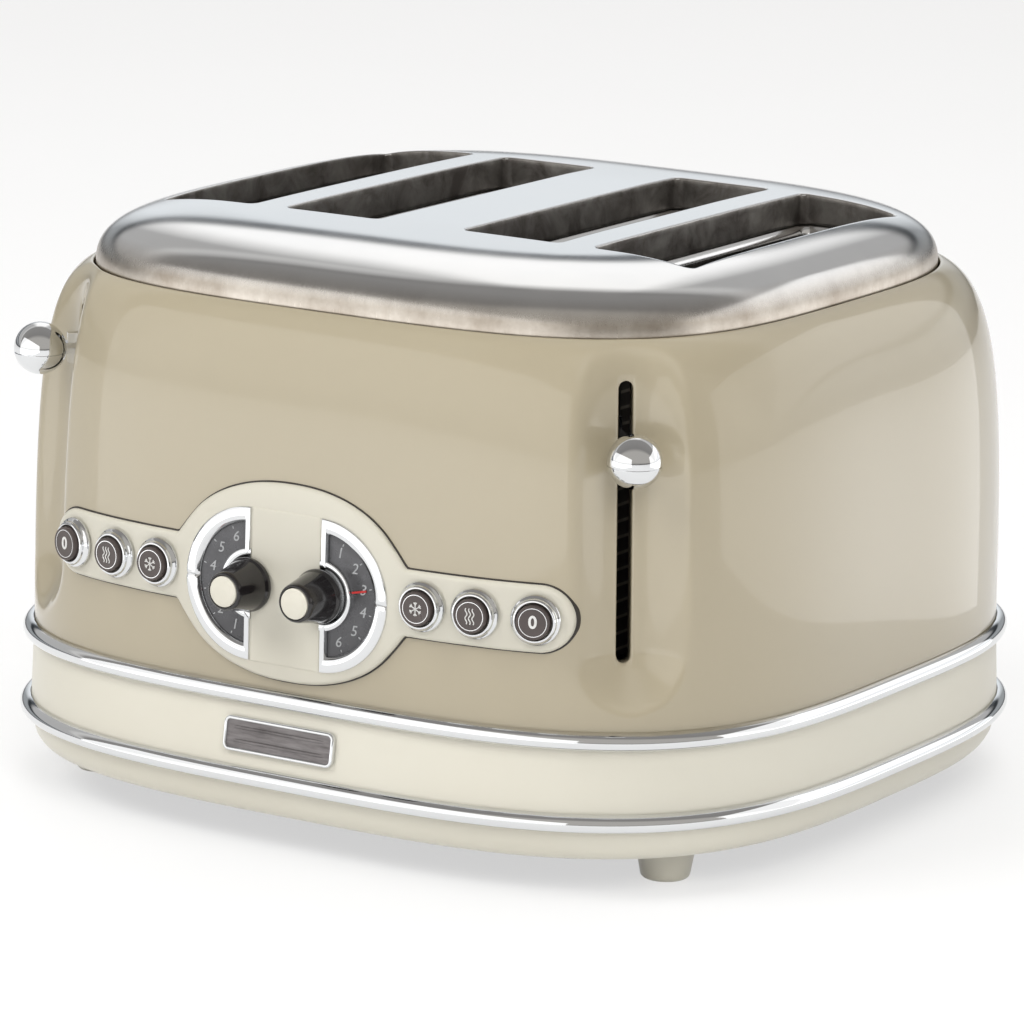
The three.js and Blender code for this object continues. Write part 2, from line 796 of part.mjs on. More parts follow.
function controlPanel() {
  const last = buttonXs[buttonXs.length - 1];
  const pillLength = 2 * (last + stripHalfHeight);
  const pill = roundedRectangle(0, panelZ, pillLength, 2 * stripHalfHeight, stripHalfHeight - weld);
  const middle = roundedRectangle(0, dialZ, 2 * (dialX - gap), 2 * dialRadius, gap);
  let panel = onFront(frontPrism(pill, 4), gap, stripThickness);
  panel = union([panel, ...bulgeFillets(), onFront(frontPrism(bulgeShape(), 4), gap, bulgeThickness)]);
  const pockets = Object.values(sides).map((sign) =>
    onFront(frontPrism(halfDisc(sign, dialRadius, -gap), 4), panelFloor, bulgeThickness + overrun));
  panel = cutAll(panel, pockets);
  const ringSlice = grownBody(dialRingThickness).subtract(grownBody(panelFloor / 2));
  const rings = Object.values(sides).map((sign) => dialDisc(sign, dialRingRadius).intersect(ringSlice));
  panel = union([panel, onFront(frontPrism(middle, 1), panelFloor / 2, blockThickness), ...rings]);
  const seats = Object.values(sides).map((sign) =>
    placed(rod(bezelRadius + gap, -gap / 2, overrun, bezelSides), buttonFrame(sign * buttonXs[0])));
  return cutAll(panel, [...seats, ...controlBores()]);
}

function dialFrame(sign) {
  const outer = frontPrism(halfDisc(sign, dialRadius - gap, 0), 4);
  const opening = frontPrism(halfDisc(sign, dialRadius - dialFrameWidth, dialFrameBar), 4);
  const ring = outer.subtract(opening).subtract(dialDisc(sign, dialRingRadius + gap));
  return onFront(ring, panelFloor + gap, dialFrameThickness);
}

function dialFace(sign) {
  const disc = frontPrism(halfDisc(sign, dialRadius - dialFrameWidth - gap, dialFrameBar + gap), 4);
  return onFront(disc.subtract(dialDisc(sign, dialRingRadius + gap)), panelFloor + gap, dialFaceThickness);
}

function knob() {
  const capFloor = knobLength - capThickness + capProud;
  const profile = [
    [0, -shaftLength],
    [shaftRadius, -shaftLength],
    [shaftRadius, 0],
    [knobBaseRadius, 0],
    [knobBaseRadius, knobSkirt],
    [knobTipRadius, knobLength - gap],
    [knobTipRadius - gap, knobLength],
    [capRadius + gap, knobLength],
    [capRadius + gap, capFloor],
    [0, capFloor],
  ];
  return turned(profile, knobSides);
}

function knobCap() {
  const lowZ = knobLength - capThickness + capProud + gap;
  return rod(capRadius, lowZ, lowZ + capThickness, knobSides);
}

function bezel() {
  const bore = buttonRadius + gap;
  const profile = [
    [bore, 0],
    [bezelRadius, 0],
    [bezelRadius, bezelFlange],
    [bezelStepRadius, bezelFlange + gap],
    [bezelStepRadius - gap, bezelHeight],
    [bore, bezelHeight - gap],
    [bore, 0],
  ];
  return turned(profile, bezelSides);
}

function pushButton() {
  const profile = [
    [0, -stemLength],
    [stemRadius, -stemLength],
    [stemRadius, buttonTravel],
    [buttonRadius, buttonTravel],
    [buttonRadius, buttonTravel + buttonHeight - buttonDish],
    [buttonRadius - buttonDish, buttonTravel + buttonHeight],
    [0, buttonTravel + buttonHeight - buttonDish / 2],
  ];
  return turned(profile, bezelSides);
}

function addControls() {
  addNode("control_panel", controlPanel(), cream);
  for (const [side, sign] of Object.entries(sides)) {
    addNode(`dial_frame_${side}`, dialFrame(sign), chrome);
    addNode(`dial_face_${side}`, dialFace(sign), darkGrey);
    addNode(`knob_${side}`, placed(knob(), knobFrame(sign)), blackPlastic);
    addNode(`knob_cap_${side}`, placed(knobCap(), knobFrame(sign)), cream);
    buttonXs.forEach((x, place) => {
      addNode(`button_bezel_${side}_${place + 1}`, placed(bezel(), buttonFrame(sign * x)), chrome);
      addNode(`button_${side}_${place + 1}`, placed(pushButton(), buttonFrame(sign * x)), darkGrey);
    });
  }
}

// Levers, carriages and racks

const wellFrontY = slotBack - slotLength / 2 - wellEndGap;
const wellRearY = slotBack + slotLength / 2 + wellEndGap;
const chassisFrontY = wellFrontY - chassisSheet;
const carriageRearY = chassisFrontY - carriageForward;
const carriageFrontY = carriageRearY - carriageSheet;
const rodY = carriageFrontY - rodForward;
const ballReach = fluteFloor + ballOut;

function leverBall(side) {
  const sphere = solidOf(new THREE.SphereGeometry(ballRadius, ballSides, ballSides / 2));
  const bore = rod(stubRadius + gap, 0, 2 * ballRadius, bezelSides / 2);
  bore.rotateY(-quarterTurn);
  const drilled = sphere.subtract(moved(bore, stubLength - ballRadius + gap, 0, 0));
  return placed(geometryOf(drilled), cornerTurn(side).multiply(ballShift(side)));
}

const ballShift = (side) => new THREE.Matrix4().makeTranslation(ballReach, 0, ballRestZ[side]);

function leverArm(side) {
  const sign = sides[side];
  const restZ = ballRestZ[side];
  const neckEnd = ballReach - ballRadius - gap;
  const neckStart = -carriageFrontY / Math.sin(cornerAngle) + neckThickness / 2 + gap;
  const neck = new THREE.BoxGeometry(neckEnd - neckStart, neckThickness, neckHeight);
  neck.translate((neckStart + neckEnd) / 2, 0, restZ);
  const stub = rod(stubRadius, 0, stubLength + carriageSheet, bezelSides / 2);
  stub.rotateY(quarterTurn);
  stub.translate(neckEnd - carriageSheet, 0, restZ);
  const cornerX = -carriageFrontY / Math.tan(cornerAngle);
  const flangeY = carriageFrontY - gap;
  const xs = [sign * (rodX + sleeveRadius + gap), sign * (cornerX + neckThickness)];
  const zs = [restZ - neckHeight / 2, restZ + neckHeight / 2];
  const flange = block(xs, [flangeY, flangeY - neckThickness], zs);
  const turn = cornerTurn(side);
  return union([placed(neck, turn), placed(stub, turn), flange]);
}

function carriage(side) {
  const sign = sides[side];
  const restZ = ballRestZ[side];
  const zs = [restZ - carriageBelow, restZ + carriageAbove];
  const [inner, outer] = slotCentres;
  const xs = [sign * (inner - carriageInset), sign * (outer + rackWidth / 2)];
  const plate = block(xs, [carriageFrontY, carriageRearY], zs);
  const sleeve = moved(rod(sleeveRadius, ...zs, bezelSides), sign * rodX, rodY, 0);
  const hole = rod(rodRadius + gap, zs[0] - overrun, zs[1] + overrun, bezelSides);
  const bore = moved(hole, sign * rodX, rodY, 0);
  return plate.add(sleeve).subtract(bore);
}

function breadRack(x, side) {
  const topZ = ballRestZ[side] - rackTop;
  const tongueY = carriageRearY + gap;
  const endY = slotBack + slotLength / 2 - slotCorner;
  const startY = slotBack - slotLength / 2 + slotCorner;
  const barXs = [x - rackWidth / 2, x + rackWidth / 2];
  const bar = block(barXs, [tongueY, endY], [topZ - rackHeight, topZ - finThickness]);
  const fins = [];
  for (let place = 0; place < finCount; place += 1) {
    const y = mix(startY + finThickness, endY - finThickness, place / (finCount - 1));
    const ys = [y - finThickness / 2, y + finThickness / 2];
    fins.push(block([x - finWidth / 2, x + finWidth / 2], ys, [topZ - finHeight, topZ]));
  }
  return union([bar, ...fins]);
}

function returnSpring(side) {
  const lowZ = coverTopZ + gap + springWire;
  const highZ = ballRestZ[side] - carriageBelow - gap - springWire;
  const steps = springTurns * springStepsPerTurn;
  const points = [];
  for (let step = 0; step <= steps; step += 1) {
    const turn = (2 * Math.PI * step) / springStepsPerTurn;
    const z = mix(lowZ, highZ, step / steps);
    points.push(at(springRadius * Math.cos(turn), springRadius * Math.sin(turn), z));
  }
  const wire = new THREE.Shape();
  wire.absarc(0, 0, springWire, 0, 2 * Math.PI);
  const extrudePath = new THREE.CatmullRomCurve3(points);
  const geometry = new THREE.ExtrudeGeometry(wire, { steps, curveSegments: springSides, extrudePath });
  return moved(geometry, sides[side] * rodX, rodY, 0);
}

function electromagnet(side) {
  const sign = sides[side];
  const xs = [sign * magnetX - magnetWidth / 2, sign * magnetX + magnetWidth / 2];
  const ys = [chassisFrontY - gap, chassisFrontY - gap - magnetDepth];
  const lowestCarriageZ = leverSlotLowZ + neckHeight / 2 + slideGap - carriageBelow;
  const coreTopZ = lowestCarriageZ - gap;
  const yokeZs = [coreTopZ - magnetCoreHeight - magnetHeight, coreTopZ - magnetCoreHeight];
  const core = rod(magnetCoreRadius, yokeZs[1] - gap, coreTopZ, bezelSides);
  return block(xs, ys, yokeZs).add(moved(core, sign * magnetX, (ys[0] + ys[1]) / 2, 0));
}

function addLevers() {
  for (const [side, sign] of Object.entries(sides)) {
    addNode(`lever_ball_${side}`, leverBall(side), chrome);
    addNode(`lever_arm_${side}`, leverArm(side), chrome);
    addNode(`carriage_${side}`, carriage(side), sheetSteel);
    slotCentres.forEach((x, place) => {
      addNode(`bread_rack_${side}_${place + 1}`, breadRack(sign * x, side), sheetSteel);
    });
    const guide = rod(rodRadius, coverTopZ + gap, rodTopZ, bezelSides);
    addNode(`guide_rod_${side}`, moved(guide, sign * rodX, rodY, 0), sheetSteel);
    addNode(`return_spring_${side}`, returnSpring(side), sheetSteel);
    addNode(`electromagnet_${side}`, electromagnet(side), copper);
  }
}

// Chassis, heating boards, circuit board and crumb trays

function chassisPlate(lowY, highY) {
  return block([-chassisHalfWidth, chassisHalfWidth], [lowY, highY], [coverTopZ + gap, chassisTopZ]);
}

function chassisFront() {
  const lowZ = leverSlotLowZ + neckHeight / 2 - rackTop - rackHeight - tongueSlotMargin;
  const highZ = leverSlotHighZ - rackTop + tongueSlotMargin;
  const slots = slotPlaces().map(({ x }) => {
    const half = rackWidth / 2 + slideGap;
    return block([x - half, x + half], [chassisFrontY - overrun, wellFrontY + overrun], [lowZ, highZ]);
  });
  return cutAll(chassisPlate(chassisFrontY, wellFrontY), slots);
}

function chassisRear() {
  const passages = Object.values(sides).map((sign) => {
    const xs = [sign * (trayInnerX - 2 * slideGap), sign * (trayOuterX + 2 * slideGap)];
    return block(xs, [wellRearY - overrun, wellRearY + overrun], [0, trayLowZ + trayHeight + 2 * slideGap]);
  });
  return cutAll(chassisPlate(wellRearY, wellRearY + chassisSheet), passages);
}

function heaterPlaces() {
  const [inner, outer] = slotCentres;
  const innerEdge = inner - slotWidth / 2 - heaterInset;
  const edges = [innerEdge, (inner + outer) / 2, outer + slotWidth / 2 + heaterInset];
  return Object.entries(sides).flatMap(([side, sign]) =>
    edges.map((x, place) => ({ name: `heater_board_${side}_${place + 1}`, x: sign * x })));
}

function heaterBoard(x) {
  const half = heaterThickness / 2;
  return block([x - half, x + half], [wellFrontY + gap, wellRearY - gap], [heaterLowZ, heaterHighZ]);
}

function circuitBoard() {
  const zs = [boardLowZ, boardLowZ + boardHeight];
  return block([-boardHalfWidth, boardHalfWidth], [boardY - boardThickness, boardY], zs);
}

// The tray's rear wall follows the lip that it closes, and its handle is a thin ledge on that wall
function crumbTray(sign) {
  const zs = [trayLowZ, trayLowZ + trayHeight];
  const layer = (grow, lowZ, highZ) => {
    const section = skirtSection(0, grow - lipTuck / 2, lowZ);
    return loft([section, { ...section, z: highZ }]);
  };
  const frontY = wellFrontY + gap;
  const outer = block([sign * trayInnerX, sign * trayOuterX], [frontY, lipHalfY + overrun], zs);
  const innerXs = [sign * (trayInnerX + traySheet), sign * (trayOuterX - traySheet)];
  const innerYs = [frontY + traySheet, lipHalfY + overrun];
  const inner = block(innerXs, innerYs, [zs[0] + traySheet, zs[1] + overrun]);
  const pan = outer.intersect(layer(0, ...zs));
  const hollow = inner.intersect(layer(-traySheet, zs[0], zs[1] + overrun));
  const middleX = (sign * (trayInnerX + trayOuterX)) / 2;
  const middleZ = (zs[0] + zs[1]) / 2;
  const handleXs = [middleX - trayHandleWidth / 2, middleX + trayHandleWidth / 2];
  const handleZs = [middleZ - trayHandleThickness / 2, middleZ + trayHandleThickness / 2];
  const ledge = block(handleXs, [0, lipHalfY + overrun], handleZs).intersect(layer(trayHandleDepth, ...zs));
  return union([pan.subtract(hollow), ledge.subtract(layer(-traySheet / 2, ...zs))]);
}

function addInside() {
  addNode("chassis_front", chassisFront(), sheetSteel);
  addNode("chassis_rear", chassisRear(), sheetSteel);
  for (const { name, x } of heaterPlaces()) addNode(name, heaterBoard(x), mica);
  addNode("circuit_board", circuitBoard(), boardGreen);
  for (const [side, sign] of Object.entries(sides)) {
    addNode(`crumb_tray_${side}`, crumbTray(sign), sheetSteel);
  }
}

// Outer pieces

function badgePlate() {
  const layer = (grow) => loft([beadLowZ, seamZ].map((z, end) => skirtSection(end, grow, z)));
  const slice = (shape, inner, outer) => frontPrism(shape, 2).intersect(layer(outer)).subtract(layer(inner));
  const bare = (border) => roundedRectangle(
    badgeX, cordZ, badgeWidth - 2 * border, badgeHeight - 2 * border, badgeCorner - border);
  const plate = slice(bare(0), gap, badgeThickness);
  return plate.subtract(slice(bare(badgeBorder), badgeThickness - badgeRecess, badgeThickness + gap));
}

function cordGland() {
  const profile = [
    [glandBore, -glandNeck],
    [glandNeckRadius, -glandNeck],
    [glandNeckRadius, gap],
    [glandRadius, gap],
    [glandRadius, glandFlange],
    [glandBore, glandFlange + gap],
    [glandBore, -glandNeck],
  ];
  return onRearFace(turned(profile, glandSides));
}

function addShells() {
  addNode("body_shell", bodyShell(), beige);
  addNode("top_plate", topPlate(), brushed);
  addNode("base_skirt", baseSkirt(), cream);
  addNode("upper_bead", solidOf(bead(seamZ)), chrome);
  addNode("lower_bead", solidOf(bead(beadLowZ)), chrome);
  addNode("bottom_cover", bottomCover(), darkGrey);
  for (const [side, sign] of Object.entries(sides)) {
    addNode(`foot_front_${side}`, moved(foot(), sign * footX, -footY, 0), cream);
    addNode(`foot_rear_${side}`, moved(foot(), sign * footX, footY, 0), cream);
  }
  addNode("badge_plate", badgePlate(), brushed);
  addNode("cord_gland", cordGland(), blackPlastic);
}

addShells();
addControls();
addLevers();
addInside();

// The origin lies under the middle of the object's box, on the table
const reach = new THREE.Box3().setFromObject(toaster);
toaster.position.set(-(reach.min.x + reach.max.x) / 2, -(reach.min.y + reach.max.y) / 2, -reach.min.z);

export default toaster;
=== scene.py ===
# The looks of a rounded four-slice toaster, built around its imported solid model
import math
import bpy
import bmesh
import numpy as np
from mathutils import Matrix, Vector


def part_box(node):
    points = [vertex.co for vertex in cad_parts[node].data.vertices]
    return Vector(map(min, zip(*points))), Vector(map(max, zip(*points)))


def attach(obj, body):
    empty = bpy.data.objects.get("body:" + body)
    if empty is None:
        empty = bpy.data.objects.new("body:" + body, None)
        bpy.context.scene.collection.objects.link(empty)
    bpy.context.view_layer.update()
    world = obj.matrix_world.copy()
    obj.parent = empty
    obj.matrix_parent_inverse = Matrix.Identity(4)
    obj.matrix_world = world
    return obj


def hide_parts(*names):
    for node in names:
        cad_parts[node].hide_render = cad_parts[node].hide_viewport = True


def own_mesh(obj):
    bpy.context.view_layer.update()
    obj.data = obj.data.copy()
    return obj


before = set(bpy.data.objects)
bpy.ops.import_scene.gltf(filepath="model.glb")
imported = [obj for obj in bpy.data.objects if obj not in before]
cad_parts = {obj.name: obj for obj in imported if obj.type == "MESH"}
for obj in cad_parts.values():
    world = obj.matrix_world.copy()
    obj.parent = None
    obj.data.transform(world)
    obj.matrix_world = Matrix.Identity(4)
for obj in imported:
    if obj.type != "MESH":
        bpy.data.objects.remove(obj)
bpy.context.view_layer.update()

# Sizes in millimetres, in the model's own frame: the axis of the body runs through x = 0, y = 0
MM = 0.001
GAP = 0.3
SEAM_Z = 54.0
BEAD_LOW_Z = 26.3
RIM_Z = 186.0
FOOT_Z = 12.0
BODY_HEIGHT = RIM_Z - SEAM_Z
LIP_HALF = (156.7, 149.3)
SEAM_HALF = (154.2, 145.3)
RIM_HALF = (133.4, 128.1)
LIP_SQUARENESS = 3.22
BODY_SQUARENESS = 3.45
RIM_FORWARD = 4.0
SIDE_SHARES = ((0, 0), (0.03, 0.57), (0.03, 0.94), (1, 1))
LIP_TUCK = 6.5
LIP_SHARES = ((1, 0), (0.68, 0.06), (0.38, 0.2), (0.12, 0.55), (0, 1))
BEAD_RADIUS = 3.2

FLUTE_ANGLE = math.radians(45.6)
FLUTE_LEAN = math.radians(3.2)
FLUTE_RADIUS = 22.0
FLUTE_FLOOR = 161.18
FLUTE_MIDDLE_Z = 125.85
FLUTE_DOME_Z = 61.5
FLUTE_ROUNDING = 7.0
LEVER_SLOT_HALF = 2.5
LEVER_SLOT_LOW = 78.7
LEVER_SLOT_HIGH = 173.0
BALL_RADIUS = 9.2
BALL_REACH = 173.28
BALL_Z = {"right": 149.0, "left": 157.6}
SPRING_RADIUS = 4.3
SPRING_WIRE = 0.6
SPRING_TURNS = 7
SIDES = {"right": 1, "left": -1}

PLATE_STEP = 1.2
PLATE_SHOULDER = 38.0
SHOULDER_HEIGHT = 20.2
PLATE_HEIGHT = 21.3
CROWN_FLAT = 0.65
SHOULDER_SHARES = ((0, 0), (0, 0.6), (0.26, 0.92), (1, 1))
SLOT_XS = ((17.4, 56.1), (69.9, 108.6))
SLOT_YS = (-68.8, 74.0)
SLOT_CORNER = 3.0
COLLAR_LOW_Z = 195.3

PANEL_Z = 94.8
STRIP_HALF = 11.4
STRIP_THICKNESS = 2.0
BULGE_HALF = (46.5, 34.0)
BULGE_SQUARENESS = 2.2
BULGE_THICKNESS = 3.1
BLOCK_THICKNESS = 3.4
PANEL_FLOOR = 1.0
DIAL_X = 14.4
DIAL_Z = 93.2
DIAL_RADIUS = 26.5
DIAL_INNER_RADIUS = 21.1
DIAL_BAR = 2.4
DIAL_FACE_THICKNESS = 2.2
DIAL_RING_RADIUS = 12.2
DIAL_RING_THICKNESS = 3.6
BUTTON_XS = (53.8, 73.4, 94.2)
BADGE_X = -2.0
BADGE_SIZE = (45.0, 12.0)
FOOT_PLACE = (118.0, 92.0)
POINTER_TURNS = {"right": 12, "left": -15}
SHELL_WALL = 1.2
PLATE_WALL = 1.0
SKIRT_WALL = 2.3
PLATE_HALF = tuple(half - PLATE_STEP for half in RIM_HALF)
SLOT_END_LOW = LEVER_SLOT_LOW + LEVER_SLOT_HALF
SLOT_END_HIGH = LEVER_SLOT_HIGH - LEVER_SLOT_HALF

bead_low, bead_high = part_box("upper_bead")
SHIFT = (bead_low + bead_high) / (2 * MM)
SHIFT.z = 0


def bezier(shares, steps):
    t = np.asarray(steps, float)
    weights = ((1 - t) ** 3, 3 * t * (1 - t) ** 2, 3 * t ** 2 * (1 - t), t ** 3)
    across = sum(w * p[0] for w, p in zip(weights, shares))
    along = sum(w * p[1] for w, p in zip(weights, shares))
    return across, along


FINE = np.linspace(0, 1, 4001)
SIDE_DRAWN, SIDE_RISE = bezier(SIDE_SHARES, FINE)
SHOULDER_IN, SHOULDER_RISE = bezier(SHOULDER_SHARES, FINE)


def mix(a, b, share):
    return a + (b - a) * share


def fill_of(across, along, squareness=BODY_SQUARENESS):
    """One on a plan outline and less within it, at shares of its half sizes."""
    return np.abs(across) ** squareness + np.abs(along) ** squareness


def halve(low, high, outside):
    """The places between low and high where a test turns true."""
    for _ in range(40):
        middle = (low + high) / 2
        past = outside(middle)
        high = np.where(past, middle, high)
        low = np.where(past, low, middle)
    return low


def body_section(z, grow=0.0):
    """Half width, half depth and centre of the body's outline at a height."""
    rise = (np.asarray(z, float) - SEAM_Z) / BODY_HEIGHT
    drawn = np.interp(rise, SIDE_RISE, SIDE_DRAWN)
    half_x = mix(SEAM_HALF[0], RIM_HALF[0], drawn) + grow
    half_y = mix(SEAM_HALF[1], RIM_HALF[1], drawn) + grow
    return half_x, half_y, -RIM_FORWARD * drawn


def front_point(x, z, out):
    """Points on the front face, a distance in front of the body."""
    x, z, out = np.broadcast_arrays(*(np.asarray(v, float) for v in (x, z, out)))
    half_x, half_y, centre = body_section(z, out)
    fill = 1 - np.abs(x / half_x) ** BODY_SQUARENESS
    y = centre - half_y * fill ** (1 / BODY_SQUARENESS)
    return np.stack([x, y, z], axis=-1)


def front_frame(x, z, out):
    reach = GAP
    across = front_point(x + reach, z, out) - front_point(x - reach, z, out)
    upward = front_point(x, z + reach, out) - front_point(x, z - reach, out)
    across = Vector(across).normalized()
    normal = across.cross(Vector(upward)).normalized()
    upright = normal.cross(across).normalized()
    turn = Matrix((across, upright, normal)).transposed().to_4x4()
    return Matrix.Translation(Vector(front_point(x, z, out))) @ turn


# Meshes

def grid_faces(rows, cols, closed=False, keep=None, start=0):
    faces = []
    last = cols if closed else cols - 1
    for row in range(rows - 1):
        for col in range(last):
            if keep is not None and not keep[row, col]:
                continue
            right = (col + 1) % cols
            low = start + row * cols
            faces.append((low + col, low + right, low + cols + right, low + cols + col))
    return faces


def open_edges(faces):
    directed = set()
    for face in faces:
        for k, a in enumerate(face):
            directed.add((a, face[(k + 1) % len(face)]))
    return [(a, b) for a, b in directed if (b, a) not in directed]


def extend_edges(points, faces, chosen, steps):
    """Grows walls from the chosen open edges: each step turns the first ring's points into a further ring."""
    edges = [(a, b) for a, b in open_edges(faces) if chosen(points[a]) and chosen(points[b])]
    ring = sorted({v for edge in edges for v in edge})
    first = points[ring]
    below = {v: v for v in ring}
    for step in steps:
        start = len(points)
        points = np.vstack([points, step(first)])
        above = {v: start + k for k, v in enumerate(ring)}
        for a, b in edges:
            faces.append((below[b], below[a], above[a], above[b]))
        below = above
    return points, faces


def add_object(name, data):
    made = bpy.data.objects.new(name, data)
    bpy.context.scene.collection.objects.link(made)
    return made


def back_by(vector):
    """A step that takes a vector away from each of a ring's points."""
    return lambda ring: ring - vector


def every_point(_):
    return True


def on_front_at(out):
    """A step that takes a ring's points to a distance in front of the body."""
    return lambda ring: front_point(ring[:, 0], ring[:, 2], out)


def make_piece(name, points, faces, finish, body, nodes=(), sharp=40, own_frame=True, matrix=None):
    """A visible piece from points in millimetres, riding on a body."""
    data = bpy.data.meshes.new(name)
    points = np.asarray(points, float)
    if matrix is not None:
        turn = np.array(matrix)
        points = points @ turn[:3, :3].T + turn[:3, 3]
    shifted = points + (np.array(SHIFT) if own_frame else 0)
    data.from_pydata((shifted * MM).tolist(), [], [tuple(int(v) for v in face) for face in faces])
    data.update()
    piece = add_object(name, data)
    finishes = finish if isinstance(finish, (list, tuple)) else [finish]
    for one in finishes:
        data.materials.append(one)
    tidy_mesh(data, sharp)
    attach(piece, body)
    if nodes:
        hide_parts(*nodes)
    return piece


def tidy_mesh(data, sharp):
    mesh = bmesh.new()
    mesh.from_mesh(data)
    bmesh.ops.remove_doubles(mesh, verts=mesh.verts, dist=0.002 * MM)
    loose = [v for v in mesh.verts if not v.link_faces]
    bmesh.ops.delete(mesh, geom=loose, context="VERTS")
    limit = math.radians(sharp)
    for face in mesh.faces:
        face.smooth = True
    for edge in mesh.edges:
        if len(edge.link_faces) == 2:
            edge.smooth = edge.calc_face_angle(0) < limit
    mesh.to_mesh(data)
    mesh.free()


def face_outwards(piece):
    mesh = bmesh.new()
    mesh.from_mesh(piece.data)
    bmesh.ops.recalc_face_normals(mesh, faces=mesh.faces)
    mesh.to_mesh(piece.data)
    mesh.free()


def thicken(piece, thickness):
    shell = piece.modifiers.new("wall", "SOLIDIFY")
    shell.thickness = thickness * MM
    shell.offset = -1
    shell.use_even_offset = False
    shell.use_quality_normals = True
    return piece


def swept_piece(name, rings, finish, nodes=(), sharp=50, closed=True):
    """A piece on the toaster's body through rings of points, with its faces turned outwards."""
    faces = grid_faces(len(rings), len(rings[0]), closed)
    face_outwards(make_piece(name, np.vstack(rings), faces, finish, "toaster", nodes, sharp))


def lathe(profile, segments=64):
    """Points and faces of a profile of radius and height pairs, turned about +Z."""
    turns = np.linspace(0, 2 * math.pi, segments, endpoint=False)
    across, along = np.cos(turns), np.sin(turns)
    profile = np.asarray(profile, float)
    rings = [np.column_stack([r * across, r * along, np.full(segments, h)]) for r, h in profile]
    return np.vstack(rings), grid_faces(len(profile), segments, closed=True)


def rounded_profile(profile, radius, steps=4):
    """A profile whose inner corners are rounded by a radius."""
    profile = [np.asarray(p, float) for p in profile]
    rounded = [profile[0]]
    for before, corner, after in zip(profile, profile[1:], profile[2:]):
        start, end = (corner + away / np.linalg.norm(away) * min(radius, np.linalg.norm(away) * 0.45)
                      for away in (before - corner, after - corner))
        for k in range(steps + 1):
            t = k / steps
            rounded.append((1 - t) ** 2 * start + 2 * t * (1 - t) * corner + t ** 2 * end)
    rounded.append(profile[-1])
    return rounded


def turned_piece(name, profile, finish, body, nodes=(), matrix=None, segments=64, rounding=0.0,
                 sharp=40):
    if rounding:
        profile = rounded_profile(profile, rounding)
    points, faces = lathe(profile, segments)
    piece = make_piece(name, points, faces, finish, body, nodes, sharp, matrix=matrix)
    face_outwards(piece)
    return piece


# Materials

def add_node(tree, kind, inputs=None, **settings):
    """A new node: an input given a socket is linked to it, and any other is set to what is given."""
    made = tree.nodes.new(kind)
    for key, value in settings.items():
        setattr(made, key, value)
    for key, value in (inputs or {}).items():
        if isinstance(value, bpy.types.NodeSocket):
            tree.links.new(value, made.inputs[key])
        else:
            made.inputs[key].default_value = value
    return made


def map_range(tree, value, low, high, from_low, from_high):
    made = add_node(tree, "ShaderNodeMapRange", {
        "Value": value, "From Min": from_low, "From Max": from_high, "To Min": low, "To Max": high})
    return made.outputs["Result"]


def math_node(tree, operation, *values):
    return add_node(tree, "ShaderNodeMath", dict(enumerate(values)), operation=operation).outputs["Value"]


class Finish:
    """A principled material whose colour, roughness and bump come from procedural textures."""

    def __init__(self, name, color, roughness, metallic=0.0, **sockets):
        self.material = bpy.data.materials.new(name)
        self.material.use_nodes = True
        self.tree = self.material.node_tree
        self.shader = self.tree.nodes["Principled BSDF"]
        sockets.update({"Base_Color": (*color, 1), "Roughness": roughness, "Metallic": metallic})
        for socket, value in sockets.items():
            self.shader.inputs[socket.replace("_", " ")].default_value = value
        self.place = self.node("ShaderNodeTexCoord").outputs["Object"]
        self.bump_before = None

    def node(self, kind, inputs=None, **settings):
        return add_node(self.tree, kind, inputs, **settings)

    def texture(self, kind, inputs, output, stretch=(1, 1, 1), **settings):
        mapping = self.node("ShaderNodeMapping", {"Scale": stretch, "Vector": self.place})
        return self.node(kind, {**inputs, "Vector": mapping.outputs["Vector"]}, **settings).outputs[output]

    def noise(self, scale, detail=4.0, roughness=0.55, stretch=(1, 1, 1), distortion=0.0):
        inputs = {"Scale": scale, "Detail": detail, "Roughness": roughness, "Distortion": distortion}
        return self.texture("ShaderNodeTexNoise", inputs, "Fac", stretch)

    def bands(self, scale, distortion=0.0):
        return self.texture("ShaderNodeTexWave", {"Scale": scale, "Distortion": distortion}, "Fac",
                            wave_type="BANDS", bands_direction="Z")

    def span(self, value, low, high, from_low=0.3, from_high=0.7):
        return map_range(self.tree, value, low, high, from_low, from_high)

    def blend_color(self, value, first, second, from_low=0.3, from_high=0.7):
        ramp = self.node("ShaderNodeValToRGB", {"Fac": value})
        start, end = ramp.color_ramp.elements
        start.position, start.color = from_low, (*first, 1)
        end.position, end.color = from_high, (*second, 1)
        return ramp.outputs["Color"]

    def mixed(self, share, first, second, data_type="FLOAT"):
        first_place, second_place, result = (6, 7, 2) if data_type == "RGBA" else (2, 3, 0)
        inputs = {0: share, first_place: first, second_place: second}
        return self.node("ShaderNodeMix", inputs, data_type=data_type).outputs[result]

    def use(self, socket, output):
        self.tree.links.new(output, self.shader.inputs[socket])

    def add_bump(self, value, distance, strength=1.0):
        inputs = {"Distance": distance * MM, "Strength": strength, "Height": value}
        if self.bump_before is not None:
            inputs["Normal"] = self.bump_before
        self.bump_before = self.node("ShaderNodeBump", inputs).outputs["Normal"]
        self.use("Normal", self.bump_before)

    def driver(self, source):
        """A texture's output as it is, or a noise with the values given."""
        return source if isinstance(source, bpy.types.NodeSocket) else self.noise(*source)

    def textured(self, color, roughness, bump=None):
        """Drives each of the three by a texture: what it comes from, then what it ranges between."""
        self.use("Base Color", self.blend_color(self.driver(color[0]), *color[1:]))
        self.use("Roughness", self.span(self.driver(roughness[0]), *roughness[1:]))
        if bump:
            self.add_bump(self.driver(bump[0]), *bump[1:])
        return self.material


